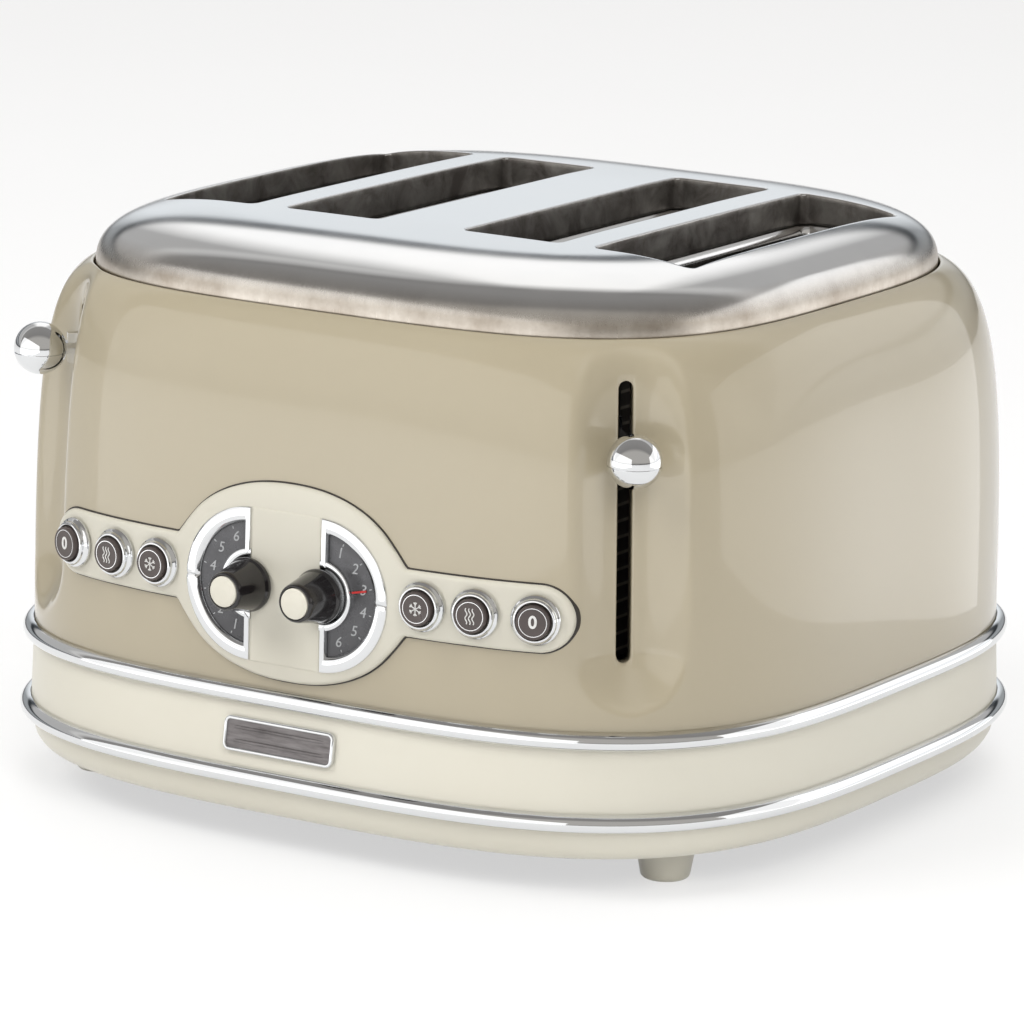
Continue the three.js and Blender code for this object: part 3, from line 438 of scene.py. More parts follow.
def srgb(red, green, blue):
    def linear(value):
        value /= 255
        return value / 12.92 if value <= 0.04045 else ((value + 0.055) / 1.055) ** 2.4
    return tuple(linear(v) for v in (red, green, blue))


def cream(name="cream_plastic", shade=0):
    middle, dark, light = (srgb(*(v - shade for v in color)) for color in (
        (214, 210, 197), (212, 208, 194), (216, 213, 200)))
    return Finish(name, middle, 0.3).textured(
        ((10, 3), dark, light), ((40, 3), 0.28, 0.33), ((1400, 2), 0.006, 0.35))


def chrome(name="chrome", tint=(0.76, 0.77, 0.78), low=0.03, high=0.08):
    return Finish(name, tint, low, 1.0).textured(
        ((12, 3), tuple(v * 0.96 for v in tint), tint), ((40, 6, 0.65), low, high), ((260, 2), 0.003, 0.3))


def brushed():
    """Satin steel: polished across the top, and brushed up and down along the skirt, whose darker, warmer
    colour is painted shade and painted warm reflection, with smudges from a noise.
    """
    made = Finish("brushed_stainless", srgb(222, 222, 222), 0.2, 1.0)
    height = made.node("ShaderNodeSeparateXYZ", {"Vector": made.place}).outputs["Z"]
    on_skirt = made.span(height, 1, 0, (RIM_Z + 4) * MM, (RIM_Z + 12) * MM)
    streak = made.noise(90, 4, 0.7, (16, 16, 0.5))
    across = made.noise(60, 3, 0.6, (0.6, 22, 1))
    cloud = made.noise(14, 5, 0.6)
    smudge = made.noise(34, 5, 0.7)
    polished = made.blend_color(cloud, srgb(214, 215, 216), srgb(224, 224, 224))
    # The skirt's colour, darker and warmer than the top, is painted shade and painted warm reflection, varied
    # by the smudge noise
    painted_shade_skirt = made.blend_color(smudge, srgb(164, 154, 142), srgb(200, 193, 183), 0.35, 0.65)
    made.use("Base Color", made.mixed(on_skirt, polished, painted_shade_skirt, "RGBA"))
    made.use("Roughness", made.mixed(on_skirt, made.span(cloud, 0.1, 0.15), made.span(streak, 0.26, 0.4)))
    made.add_bump(made.mixed(on_skirt, made.span(across, 0, 0.25), streak), 0.004, 0.4)
    return made.material


def dark_plastic(name, color, roughness=0.4, metallic=0.0):
    lighter = tuple(min(1, v * 1.35 + 0.004) for v in color)
    return Finish(name, color, roughness, metallic).textured(
        ((70, 5), color, lighter), ((300, 5), roughness - 0.08, roughness + 0.1), ((1600, 3), 0.012, 0.5))


def sheet_steel(name="galvanised_steel", color=(150, 151, 152), roughness=0.38):
    made = Finish(name, srgb(*color), roughness, 1.0)
    spangle = made.texture("ShaderNodeTexVoronoi", {"Scale": 160}, "Color")
    darker = srgb(*(v - 26 for v in color))
    return made.textured((spangle, darker, srgb(*color), 0.1, 0.9),
                         ((90, 5), roughness - 0.08, roughness + 0.12), ((500, 4), 0.01, 0.5))


def heater_mica():
    made = Finish("heater_mica", srgb(70, 66, 62), 0.5)
    wire = made.bands(55, 0.4)
    return made.textured((wire, srgb(62, 58, 54), srgb(128, 122, 112), 0.86, 0.97),
                         ((110, 5), 0.4, 0.65), (wire, 0.15, 0.6))


def green_board():
    made = Finish("green_circuit_board", srgb(52, 92, 60), 0.35)
    colors = {"Color1": (46, 84, 54), "Color2": (56, 98, 64), "Mortar": (96, 128, 78)}
    inputs = {key: (*srgb(*color), 1) for key, color in colors.items()}
    inputs.update({"Scale": 90, "Mortar Size": 0.03})
    made.use("Base Color", made.texture("ShaderNodeTexBrick", inputs, "Color"))
    made.use("Roughness", made.span(made.noise(200, 4), 0.28, 0.45))
    made.add_bump(made.noise(600, 3), 0.01, 0.5)
    return made.material


def wound_copper():
    made = Finish("wound_copper", srgb(150, 92, 58), 0.4, 0.7)
    turns = made.bands(420)
    # The darker parts of the bands, in the grooves between the winding's turns, are painted shade
    return made.textured((turns, srgb(96, 52, 32), srgb(176, 112, 70)),
                         ((150, 4), 0.32, 0.5), (turns, 0.12, 0.8))


def ink(name, color, roughness=0.45):
    return Finish(name, color, roughness).textured(
        ((500, 3), tuple(v * 0.88 for v in color), color), ((400, 3), roughness - 0.06, roughness + 0.08))


ENAMEL = Finish("beige_enamel", srgb(169, 159, 136), 0.28, Coat_Weight=0.8, Coat_Roughness=0.04).textured(
    ((4, 0), srgb(168, 158, 134), srgb(170, 160, 137), 0.1, 0.9), ((12, 0), 0.27, 0.3, 0.1, 0.9),
    ((520, 2), 0.004, 0.3))
CREAM = cream()
CREAM_PANEL = cream("cream_panel", 9)
CHROME = chrome()
SATIN_CHROME = chrome("satin_chrome", (0.8, 0.8, 0.8), 0.12, 0.22)
BRUSHED = brushed()
SLOT_WALL = Finish("slot_wall_steel", srgb(110, 106, 102), 0.5, 0.9).textured(
    ((70, 6, 0.65, (1, 1, 1), 0.5), srgb(112, 106, 102), srgb(178, 175, 170), 0.35, 0.72),
    ((260, 4), 0.3, 0.48), ((420, 4), 0.015, 0.5))
BLACK_GLOSS = Finish(
    "black_gloss_plastic", srgb(22, 20, 21), 0.12, Coat_Weight=0.4, Coat_Roughness=0.04).textured(
    ((40, 4), srgb(19, 17, 18), srgb(30, 27, 28)), ((180, 5), 0.1, 0.2), ((700, 3), 0.006, 0.5))
DIAL_GREY = dark_plastic("dial_grey", srgb(74, 74, 76), 0.28, 0.45)
BUTTON_GREY = dark_plastic("button_grey", srgb(66, 58, 56), 0.35)
# Painted shadow: a dark sheet that stands for the shade in the gap round the control panel
PANEL_GAP_SHADE = dark_plastic("painted_gap_shadow", srgb(42, 38, 34), 0.5)
COVER_GREY = dark_plastic("cover_grey", srgb(66, 66, 68), 0.45)
STEEL = sheet_steel()
TRAY_STEEL = sheet_steel("tray_steel", (176, 176, 174), 0.3)
MICA = heater_mica()
BOARD = green_board()
COPPER = wound_copper()
BADGE_GREY = Finish("badge_grey", srgb(112, 108, 108), 0.35, 0.8).textured(
    ((220, 5, 0.7, (0.3, 1, 3)), srgb(92, 88, 88), srgb(132, 128, 128)),
    ((300, 4), 0.3, 0.45), ((800, 3), 0.01, 0.5))
WHITE_INK = ink("white_ink", srgb(222, 222, 220))
PALE_INK = ink("pale_ink", srgb(176, 178, 180))
RED_INK = ink("red_ink", srgb(190, 40, 38))


# Body shell

def smooth_min(a, b, rounding):
    near = np.clip(rounding - np.abs(a - b), 0, None) / rounding
    return np.minimum(a, b) - near ** 2 * rounding / 4


def corner_directions(side):
    sign = SIDES[side]
    along = np.array([sign * math.cos(FLUTE_ANGLE), -math.sin(FLUTE_ANGLE)])
    across = np.array([-along[1], along[0]])
    return along, across


def reach_to_outline(side, q, z):
    """Distance along a corner's direction to the body's outline, at a sideways distance q."""
    along, across = corner_directions(side)
    half_x, half_y, centre = body_section(z)
    low = np.full(np.broadcast(q, z).shape, 100.0)
    high = np.full(low.shape, 230.0)

    def outside(reach):
        x = reach * along[0] + q * across[0]
        y = reach * along[1] + q * across[1]
        return fill_of(x / half_x, (y - centre) / half_y) >= 1
    return halve(low, high, outside)


def flute_reach(q, z):
    floor = FLUTE_FLOOR - (z - FLUTE_MIDDLE_Z) * math.tan(FLUTE_LEAN)
    share = np.clip(1 - (z - FLUTE_DOME_Z) / FLUTE_RADIUS, 0, 1)
    radius = FLUTE_RADIUS * np.sqrt(1 - share ** 2)
    inside = radius ** 2 - q ** 2
    near = floor + FLUTE_RADIUS - np.sqrt(np.clip(inside, 0, None))
    return np.where(inside > 0, near, 400.0)


def slot_rows():
    """Heights of the body's rows: (height outside the lever slot, which end of the slot it bends round)."""
    heights = [(z, 0) for z in np.arange(SEAM_Z, LEVER_SLOT_LOW - 2, 1.5)]
    heights += [(LEVER_SLOT_LOW - 1.2, 0), (SLOT_END_LOW, -1), (SLOT_END_LOW + 1.2, 0)]
    heights += [(z, 0) for z in np.linspace(SLOT_END_LOW + 3, SLOT_END_HIGH - 3, 34)]
    heights += [(SLOT_END_HIGH - 1.2, 0), (SLOT_END_HIGH, 1), (LEVER_SLOT_HIGH + 1.2, 0)]
    start = np.interp(LEVER_SLOT_HIGH + 2.5, SEAM_Z + BODY_HEIGHT * SIDE_RISE, FINE)
    shares = np.linspace(start, 1, 20)
    heights += [(SEAM_Z + BODY_HEIGHT * float(np.interp(s, FINE, SIDE_RISE)), 0) for s in shares]
    return heights


def corner_columns():
    near = [0, 0.9, 1.6, 2.15, LEVER_SLOT_HALF, 2.85, 3.5, 4.5]
    positive = near + list(np.arange(6, 36, 1.5))
    return np.array([-q for q in positive[:0:-1]] + positive)


def outline_turn(points, z):
    half_x, half_y, centre = body_section(z)
    power = BODY_SQUARENESS / 2
    across = np.sign(points[..., 0]) * np.abs(points[..., 0] / half_x) ** power
    shifted = (points[..., 1] - centre) / half_y
    along = np.sign(shifted) * np.abs(shifted) ** power
    return np.arctan2(along, across)


def superellipse(turns, half_x, half_y, squareness):
    """X and Y round a plan outline with rounded corners, which all of the toaster's outlines are."""
    power = 2 / squareness
    x = half_x * np.sign(np.cos(turns)) * np.abs(np.cos(turns)) ** power
    y = half_y * np.sign(np.sin(turns)) * np.abs(np.sin(turns)) ** power
    return x, y


def outline_at(turn, z):
    half_x, half_y, centre = body_section(z)
    x, y = superellipse(turn, half_x, half_y, BODY_SQUARENESS)
    return np.stack([x, centre + y], axis=-1)


def body_grid():
    rows = slot_rows()
    qs = corner_columns()
    z = np.array([height for height, _ in rows])[:, None]
    patches = {}
    for side in SIDES:
        patch_z = np.repeat(z, len(qs), axis=1)
        inner = np.abs(qs) < LEVER_SLOT_HALF
        for row, (height, end) in enumerate(rows):
            if end:
                bend = np.sqrt(LEVER_SLOT_HALF ** 2 - qs[inner] ** 2)
                patch_z[row, inner] = height + end * bend
        q = qs[None, :]
        reach = smooth_min(reach_to_outline(side, q, patch_z), flute_reach(q, patch_z), FLUTE_ROUNDING)
        past_end = np.maximum(np.maximum(SLOT_END_LOW - patch_z, patch_z - SLOT_END_HIGH), 0)
        from_slot = np.hypot(qs[None, :], past_end) - LEVER_SLOT_HALF
        reach = reach - np.interp(from_slot, [0, 0.35, 1.0], [0.4, 0.1, 0])
        along, across = corner_directions(side)
        xy = reach[..., None] * along + qs[None, :, None] * across
        patches[side] = np.concatenate([xy, patch_z[..., None]], axis=-1)
    return rows, qs, z, patches


def between(turn_start, turn_end, count, z):
    """Columns of the outline strictly between two turns, counted anticlockwise."""
    end = np.where(turn_end < turn_start, turn_end + 2 * math.pi, turn_end)
    shares = np.linspace(0, 1, count + 2)[1:-1]
    turns = turn_start[:, None] + (end - turn_start)[:, None] * shares[None, :]
    xy = outline_at(turns, np.repeat(z, count, axis=1))
    return np.concatenate([xy, np.repeat(z, count, axis=1)[..., None]], axis=-1)


# Columns of the body across the front and round the rest, and its rim's turn inwards: inward and upward
FRONT_COLUMNS = 44
AROUND_COLUMNS = 220
RIM_ROLL = ((0.25, -0.02), (0.5, -0.15), (0.7, -0.5), (0.8, -1.2), (0.8, -4))
SLOT_WALL_DEPTHS = (0.5, 5)


def build_body():
    rows, qs, z, patches = body_grid()
    left, right = patches["left"], patches["right"]
    flat_z = z[:, 0]
    ends = {side: (outline_turn(patch[:, 0], flat_z), outline_turn(patch[:, -1], flat_z))
            for side, patch in patches.items()}
    front = between(ends["left"][1], ends["right"][0], FRONT_COLUMNS, z)
    around = between(ends["right"][1], ends["left"][0], AROUND_COLUMNS, z)
    points = np.concatenate([left, front, right, around], axis=1)
    keep = np.ones(points.shape[:2], bool)
    low_row, high_row = (next(k for k, (_, end) in enumerate(rows) if end == way) for way in (-1, 1))
    slot_cols = np.flatnonzero((qs[:-1] >= -LEVER_SLOT_HALF) & (qs[1:] <= LEVER_SLOT_HALF))
    for start in (0, len(qs) + FRONT_COLUMNS):
        keep[low_row:high_row, start + slot_cols] = False
    faces = grid_faces(*points.shape[:2], closed=True, keep=keep)
    flat = points.reshape(-1, 3)

    def at_rim(point):
        return point[2] > RIM_Z - 0.01

    def rim_step(inward, sink):
        def step(ring):
            centre = np.array([0, -RIM_FORWARD, 0])
            outward = ring - centre
            bend = np.abs(outward[:, :2] / RIM_HALF) ** (BODY_SQUARENESS - 1)
            scaled = np.sign(outward[:, :2]) * bend / RIM_HALF
            normal = scaled / np.linalg.norm(scaled, axis=1, keepdims=True)
            moved = ring.copy()
            moved[:, :2] -= normal * inward
            moved[:, 2] += sink
            return moved
        return step

    flat, faces = extend_edges(flat, faces, at_rim, [rim_step(*pair) for pair in RIM_ROLL])
    for side in SIDES:
        along, across = corner_directions(side)

        def at_slot(point):
            q = abs(point[:2] @ across)
            on_side = point[:2] @ along > 0
            return on_side and q < LEVER_SLOT_HALF + 0.01 and SEAM_Z + 9 < point[2] < RIM_Z - 9
        walls = [back_by(np.append(along, 0) * depth) for depth in SLOT_WALL_DEPTHS]
        flat, faces = extend_edges(flat, faces, at_slot, walls)
    thicken(make_piece("shell_skin", flat, faces, ENAMEL, "toaster", ["body_shell"], 60),
            SHELL_WALL)


# Top plate

def shoulder_place(x, y):
    """Share inwards of the shoulder at a plan point, and how far out on the crown it is."""
    half_x, half_y = PLATE_HALF
    low, high = np.zeros(x.shape), np.ones(x.shape)

    def fill(inward):
        shrink = PLATE_SHOULDER * inward
        return fill_of(x / (half_x - shrink), y / (half_y - shrink))
    return halve(low, high, lambda inward: fill(inward) > 1), fill(high) ** (1 / BODY_SQUARENESS)


def plate_height(x, y):
    inward, crown = shoulder_place(x, y)
    share = np.interp(inward, SHOULDER_IN, FINE)
    shoulder = SHOULDER_HEIGHT * np.interp(share, FINE, SHOULDER_RISE)
    top = SHOULDER_HEIGHT + (PLATE_HEIGHT - SHOULDER_HEIGHT) * (1 - np.clip(crown, CROWN_FLAT, 1) ** 2)
    return RIM_Z + GAP + np.where(crown < 1, top, shoulder) - 0.03


def spread(lines, most):
    """Fills the gaps between lines so that none is wider than a length."""
    lines = sorted(set(round(float(v), 4) for v in lines))
    filled = [lines[0]]
    for line in lines[1:]:
        count = max(1, math.ceil((line - filled[-1]) / most))
        start = filled[-1]
        filled += [mix(start, line, k / count) for k in range(1, count + 1)]
    return np.array(filled)


EDGE_OFFSETS = (0, 0.1, 0.35, 0.8, 1.6, 3.2)
CORNER_OFFSETS = (0.75, 1.5, 2.25, 3.0, 5)


def plate_lines(half, low_edges, high_edges, limits):
    lines = []
    for share in np.linspace(0, 1, 25):
        inward = float(np.interp(share, FINE, SHOULDER_IN)) * PLATE_SHOULDER
        lines += [half - inward, inward - half]
    lines = [v for v in lines if v < limits[0] or v > limits[1]]
    for edges, way in ((low_edges, -1), (high_edges, 1)):
        for edge in edges:
            lines += [edge + way * o for o in EDGE_OFFSETS] + [edge - way * o for o in CORNER_OFFSETS]
    return spread(lines, 4)


def slot_boxes():
    boxes = []
    for low, high in SLOT_XS:
        boxes += [(low, high), (-high, -low)]
    return sorted(boxes)


def round_slot_corners(x, y, boxes, y_low, y_high):
    radius = SLOT_CORNER
    limit = SLOT_CORNER + EDGE_OFFSETS[-1]
    for x_low, x_high in boxes:
        for corner_x, sign_x in ((x_low, -1), (x_high, 1)):
            for corner_y, sign_y in ((y_low, -1), (y_high, 1)):
                dx = (x - (corner_x - sign_x * radius)) * sign_x
                dy = (y - (corner_y - sign_y * radius)) * sign_y
                size = np.maximum(dx, dy)
                inside = (dx > 0) & (dy > 0) & (size < limit)
                big = np.maximum(size, 1e-9)
                small = np.minimum(dx, dy)
                angle = np.where(dx >= dy, small / big, 2 - small / big) * math.pi / 4
                weight = np.clip((limit - size) / (limit - radius), 0, 1)
                round_x = size * np.cos(angle)
                round_y = size * np.sin(angle)
                x = np.where(inside, x + sign_x * (round_x - dx) * weight, x)
                y = np.where(inside, y + sign_y * (round_y - dy) * weight, y)
    return x, y


def distance_to_slots(x, y, boxes, y_low, y_high):
    nearest = np.full(x.shape, 1e3)
    middle_y, half_y = (y_low + y_high) / 2, (y_high - y_low) / 2
    for x_low, x_high in boxes:
        dx = np.abs(x - (x_low + x_high) / 2) - ((x_high - x_low) / 2 - SLOT_CORNER)
        dy = np.abs(y - middle_y) - (half_y - SLOT_CORNER)
        outside = np.hypot(np.maximum(dx, 0), np.maximum(dy, 0)) + np.minimum(np.maximum(dx, dy), 0)
        nearest = np.minimum(nearest, outside - SLOT_CORNER)
    return nearest


# The share of the plate that keeps its straight grid, and the plan area that holds the slots' walls
PLATE_KEPT = 0.912
WALLS_X = 112.0
WALLS_YS = (-68.0, 74.5)
STEEP = 0.25
# Where the slots' own grid lines take over from the shoulder's, and the depths of the edge and the walls
STRAIGHT_X = 113
STRAIGHT_MARGIN = 5
EDGE_DROPS = (0.5, 1.4)
COLLAR_SHARES = (0.12, 0.3, 0.5, 0.7, 0.88, 1)


def dress_slot_walls(piece):
    """Gives the steep faces inside the slots the piece's second finish."""
    for polygon in piece.data.polygons:
        x, y, z = polygon.center / MM
        inside = abs(x) < WALLS_X and WALLS_YS[0] < y - SHIFT.y < WALLS_YS[1] and z > COLLAR_LOW_Z - 1
        if inside and abs(polygon.normal.z) < STEEP:
            polygon.material_index = 1


def build_plate():
    half_x, half_y = PLATE_HALF
    y_low, y_high = (y + RIM_FORWARD for y in SLOT_YS)
    boxes = slot_boxes()
    lows, highs = zip(*boxes)
    columns = plate_lines(half_x, lows, highs, (-STRAIGHT_X, STRAIGHT_X))
    lines = plate_lines(half_y, [y_low], [y_high], (y_low - STRAIGHT_MARGIN, y_high + STRAIGHT_MARGIN))
    u, v = np.meshgrid(columns / half_x, lines / half_y)
    norm = fill_of(u, v) ** (1 / BODY_SQUARENESS)
    square = np.maximum(np.maximum(np.abs(u), np.abs(v)), 1e-9)
    most = norm / square
    squeezed = PLATE_KEPT + (norm - PLATE_KEPT) * (1 - PLATE_KEPT) / (most - PLATE_KEPT)
    scale = np.where(norm > PLATE_KEPT, squeezed / np.maximum(norm, 1e-9), 1)
    x, y = u * scale * half_x, v * scale * half_y
    x, y = round_slot_corners(x, y, boxes, y_low, y_high)
    distance = distance_to_slots(x, y, boxes, y_low, y_high)
    z = plate_height(x, y) - np.interp(distance, [0, 0.1, 0.35, 0.8], [0.8, 0.35, 0.08, 0])
    points = np.stack([x, y - RIM_FORWARD, z], axis=-1).reshape(-1, 3)
    keep = np.ones((len(lines) - 1, len(columns) - 1), bool)
    middle_x = (columns[:-1] + columns[1:]) / 2
    middle_y = (lines[:-1] + lines[1:]) / 2
    in_row = (middle_y > y_low) & (middle_y < y_high)
    for low, high in boxes:
        keep[np.ix_(in_row, (middle_x > low) & (middle_x < high))] = False
    faces = grid_faces(len(lines), len(columns), keep=keep)

    def at_edge(point):
        return point[2] < RIM_Z + GAP + 0.05

    points, faces = extend_edges(points, faces, at_edge, [back_by((0, 0, depth)) for depth in EDGE_DROPS])

    def sink_to(share):
        def step(ring):
            moved = ring.copy()
            moved[:, 2] = mix(ring[:, 2], COLLAR_LOW_Z, share)
            return moved
        return step

    def at_slot(point):
        return point[2] > COLLAR_LOW_Z - 1
    points, faces = extend_edges(points, faces, at_slot, [sink_to(share) for share in COLLAR_SHARES])
    piece = make_piece("plate_skin", points, faces, [BRUSHED, SLOT_WALL], "toaster",
                       ["top_plate"], 50)
    dress_slot_walls(piece)
    thicken(piece, PLATE_WALL)


# Base

SKIRT_MIDDLE_Z = (BEAD_LOW_Z + SEAM_Z) / 2
LIP_HEIGHTS = (12.15, 12.5, 13.1, 14, 16.5, 18.5, 20.3, 23, 24.6)
BEAD_COLUMNS = 320


def skirt_share(z):
    return (z - BEAD_LOW_Z) / (SEAM_Z - BEAD_LOW_Z)


def skirt_section(share, grow):
    half_x = mix(LIP_HALF[0], SEAM_HALF[0], share) + grow
    half_y = mix(LIP_HALF[1], SEAM_HALF[1], share) + grow
    return half_x, half_y, mix(LIP_SQUARENESS, BODY_SQUARENESS, share)


def skirt_turns(half_x, squareness, fixed_xs, side_count):
    """Turns of the outline with the rear columns at fixed x, from the right side round the rear and back."""
    rear = np.arccos(np.sign(fixed_xs) * np.abs(fixed_xs / half_x) ** (squareness / 2))
    right = np.linspace(0, rear[0], side_count, endpoint=False)
    left = np.linspace(rear[-1], math.pi, side_count + 1)[1:]
    front = np.linspace(math.pi, 2 * math.pi, 4 * side_count + 1)[1:-1]
    return np.concatenate([right, rear, left, front])


def skirt_ring(share, grow, z, fixed_xs, side_count=36):
    half_x, half_y, squareness = skirt_section(share, grow)
    turns = skirt_turns(half_x, squareness, fixed_xs, side_count)
    x, y = superellipse(turns, half_x, half_y, squareness)
    return np.column_stack([x, y, np.full(len(turns), z)])


TRAY_XS = (14.5, 110.5)
TRAY_ZS = (14.8, 21.8)


def rear_columns():
    edges = [TRAY_XS[1], TRAY_XS[0], -TRAY_XS[0], -TRAY_XS[1]]
    return spread([-v for v in edges], 3)[::-1]


def build_skirt():
    fixed_xs = rear_columns()
    share_tuck, share_rise = np.array(LIP_SHARES, float).T
    heights = sorted({FOOT_Z, *LIP_HEIGHTS, *TRAY_ZS, BEAD_LOW_Z})
    rings = []
    for z in heights:
        rise = (z - FOOT_Z) / (BEAD_LOW_Z - FOOT_Z)
        tuck = smooth_table(rise, share_rise, share_tuck)
        rings.append(skirt_ring(0, -LIP_TUCK * tuck, z, fixed_xs))
    for z in np.linspace(BEAD_LOW_Z, SEAM_Z - GAP, 9)[1:]:
        rings.append(skirt_ring(skirt_share(z), 0, z, fixed_xs))
    points = np.array(rings)
    keep = np.ones(points.shape[:2], bool)
    row_zs = points[:, 0, 2]
    in_rows = (row_zs >= TRAY_ZS[0] - 0.01) & (row_zs < TRAY_ZS[1] - 0.01)
    columns, ys = points[0, :, 0], points[0, :, 1]
    middles = np.abs(columns[:-1] + columns[1:]) / 2
    at_rear = (ys[:-1] > 50) & (ys[1:] > 50)
    in_cols = np.flatnonzero(at_rear & (middles > TRAY_XS[0]) & (middles < TRAY_XS[1]))
    keep[np.ix_(np.flatnonzero(in_rows), in_cols)] = False
    faces = grid_faces(*points.shape[:2], closed=True, keep=keep)
    thicken(make_piece("base_skin", points.reshape(-1, 3), faces, CREAM, "toaster",
                       ["base_skirt"], 50), SKIRT_WALL)


def smooth_table(value, places, heights):
    """A smooth curve through a short table of shares."""
    slopes = np.gradient(heights, places)
    k = int(np.clip(np.searchsorted(places, value) - 1, 0, len(places) - 2))
    span = places[k + 1] - places[k]
    t = (value - places[k]) / span
    start = (2 * t ** 3 - 3 * t ** 2 + 1) * heights[k] + (t ** 3 - 2 * t ** 2 + t) * span * slopes[k]
    end = (-2 * t ** 3 + 3 * t ** 2) * heights[k + 1] + (t ** 3 - t ** 2) * span * slopes[k + 1]
    return start + end


def build_bead(name, node, z):
    profile = []
    for step in range(15):
        turn = math.pi * (step / 14 - 0.5)
        profile.append((GAP + BEAD_RADIUS * math.cos(turn), BEAD_RADIUS * math.sin(turn)))
    profile += [(0.1, 1.6), (0.1, -1.6)]
    turns = np.linspace(0, 2 * math.pi, BEAD_COLUMNS, endpoint=False)
    rings = []
    for outward, upward in profile:
        share = min(1, max(0, skirt_share(z + upward)))
        half_x, half_y, squareness = skirt_section(share, outward)
        x, y = superellipse(turns, half_x, half_y, squareness)
        rings.append(np.column_stack([x, y, np.full(len(turns), z + upward)]))
    rings.append(rings[0])
    faces = grid_faces(len(rings), len(turns), closed=True)
    make_piece(name, np.vstack(rings), faces, CHROME, "toaster", [node], 50)


FOOT_PROFILE = ((0, 0), (7.4, 0), (8.4, 0.9), (10.5, 12.2), (0, 12.3))


def build_feet():
    for side, sign in SIDES.items():
        for end, way in (("front", -1), ("rear", 1)):
            name = f"foot_{end}_{side}"
            matrix = Matrix.Translation((sign * FOOT_PLACE[0], way * FOOT_PLACE[1], 0))
            turned_piece(f"{name}_skin", FOOT_PROFILE, CREAM, "toaster", [name], matrix, 56,
                         0.7)


# Control panel

def panel_rise(x, grow=0.0):
    """Half the height of the panel's outline at a distance from its middle."""
    end = BUTTON_XS[-1]
    past = np.clip(np.abs(x) - end, 0, None)
    strip = np.sqrt(np.clip((STRIP_HALF + grow) ** 2 - past ** 2, 0, None))
    half_x = BULGE_HALF[0] + grow
    fill = np.clip(1 - np.abs(x / half_x) ** BULGE_SQUARENESS, 0, None)
    bulge = (BULGE_HALF[1] + grow) * fill ** (1 / BULGE_SQUARENESS)
    rounding = 9.0
    near = np.clip(rounding - np.abs(strip - bulge), 0, None) / rounding
    return np.where(np.abs(x) < end, np.maximum(strip, bulge) + near ** 2 * rounding / 4, strip)


def distance_to_outline(x, z, grow):
    outline_x = np.concatenate([
        np.linspace(0, BUTTON_XS[-1], 500),
        BUTTON_XS[-1] + (STRIP_HALF + grow) * np.sin(np.linspace(0, math.pi / 2, 120)),
    ])
    outline_z = panel_rise(outline_x, grow)
    nearest = np.full(x.shape, 1e3)
    for px, pz in zip(outline_x, outline_z):
        nearest = np.minimum(nearest, np.hypot(np.abs(x) - px, np.abs(z - PANEL_Z) - pz))
    return nearest


def edged_line(length, count):
    """Places from 0 to a length, close together at both ends."""
    ends = np.array([0, 0.12, 0.35])
    return np.concatenate([ends, np.linspace(1, length - 1, count), length - ends[::-1]])


def panel_slab(grow, thickness, round_edge, back=-1.0):
    """A slab on the front face with the panel's outline: a thickness for each place, and a rounded edge."""
    end = BUTTON_XS[-1]
    ends = end + (STRIP_HALF + grow) * np.sin(np.linspace(0, math.pi / 2, 22))
    middle = np.linspace(0, end, 100)[:-1]
    positive = np.concatenate([middle, ends])
    xs = np.concatenate([-positive[:0:-1], positive])
    near_edge = 1 - np.array([0, 0.006, 0.016, 0.03, 0.05, 0.08, 0.13])
    shares = np.concatenate([-near_edge, np.linspace(-0.82, 0.82, 43), near_edge[::-1]])
    rise = panel_rise(xs, grow)
    x = np.repeat(xs[None, :], len(shares), axis=0)
    z = PANEL_Z + shares[:, None] * rise[None, :]
    inset = distance_to_outline(x, z, grow)
    depth = np.clip(inset / round_edge, 0, 1)
    height = thickness(x, z)
    shown = height - round_edge * (1 - np.sqrt(1 - (1 - depth) ** 2))
    top = front_point(x, z, shown)
    faces = grid_faces(*top.shape[:2])
    return extend_edges(top.reshape(-1, 3), faces, every_point, [on_front_at(back)])


def smooth_step(low, high, value):
    t = np.clip((value - low) / (high - low), 0, 1)
    return t * t * (3 - 2 * t)


def in_dial(x, z, radius, bar):
    away = np.abs(x) - DIAL_X
    return (np.hypot(away, z - DIAL_Z) < radius) & (away > bar)


def panel_thickness(x, z):
    fill = fill_of(x / BULGE_HALF[0], (z - PANEL_Z) / BULGE_HALF[1], BULGE_SQUARENESS)
    radial = fill ** (1 / BULGE_SQUARENESS)
    height = mix(BULGE_THICKNESS, STRIP_THICKNESS, smooth_step(0.84, 1.06, radial))
    return np.where(in_dial(x, z, 24.0, 1.2), PANEL_FLOOR, height)


def build_panel():
    points, faces = panel_slab(0.0, panel_thickness, 1.3)
    make_piece("panel_skin", points, faces, CREAM_PANEL, "toaster", ["control_panel"], 50)
    # A thin dark sheet a little wider than the panel: a painted shadow of the gap round it
    points, faces = panel_slab(0.55, lambda x, z: np.full(x.shape, 0.3), 0.2)
    make_piece("panel_gap_shadow", points, faces, PANEL_GAP_SHADE, "toaster", (), 50)
    half_x = DIAL_X - GAP
    half_z = DIAL_RADIUS + GAP
    xs = edged_line(2 * half_x, 14) - half_x
    zs = DIAL_Z - half_z + edged_line(2 * half_z, 30)
    x, z = np.meshgrid(xs, zs)
    edge = np.minimum(half_x - np.abs(x), half_z - np.abs(z - DIAL_Z))
    height = BLOCK_THICKNESS - np.interp(edge, [0, 0.12, 0.35, 1], [0.5, 0.2, 0.04, 0])
    block = front_point(x, z, height)
    points, faces = extend_edges(block.reshape(-1, 3), grid_faces(*block.shape[:2]), every_point,
                                 [on_front_at(0.5)])
    make_piece("panel_block", points, faces, CREAM_PANEL, "toaster", (), 50)


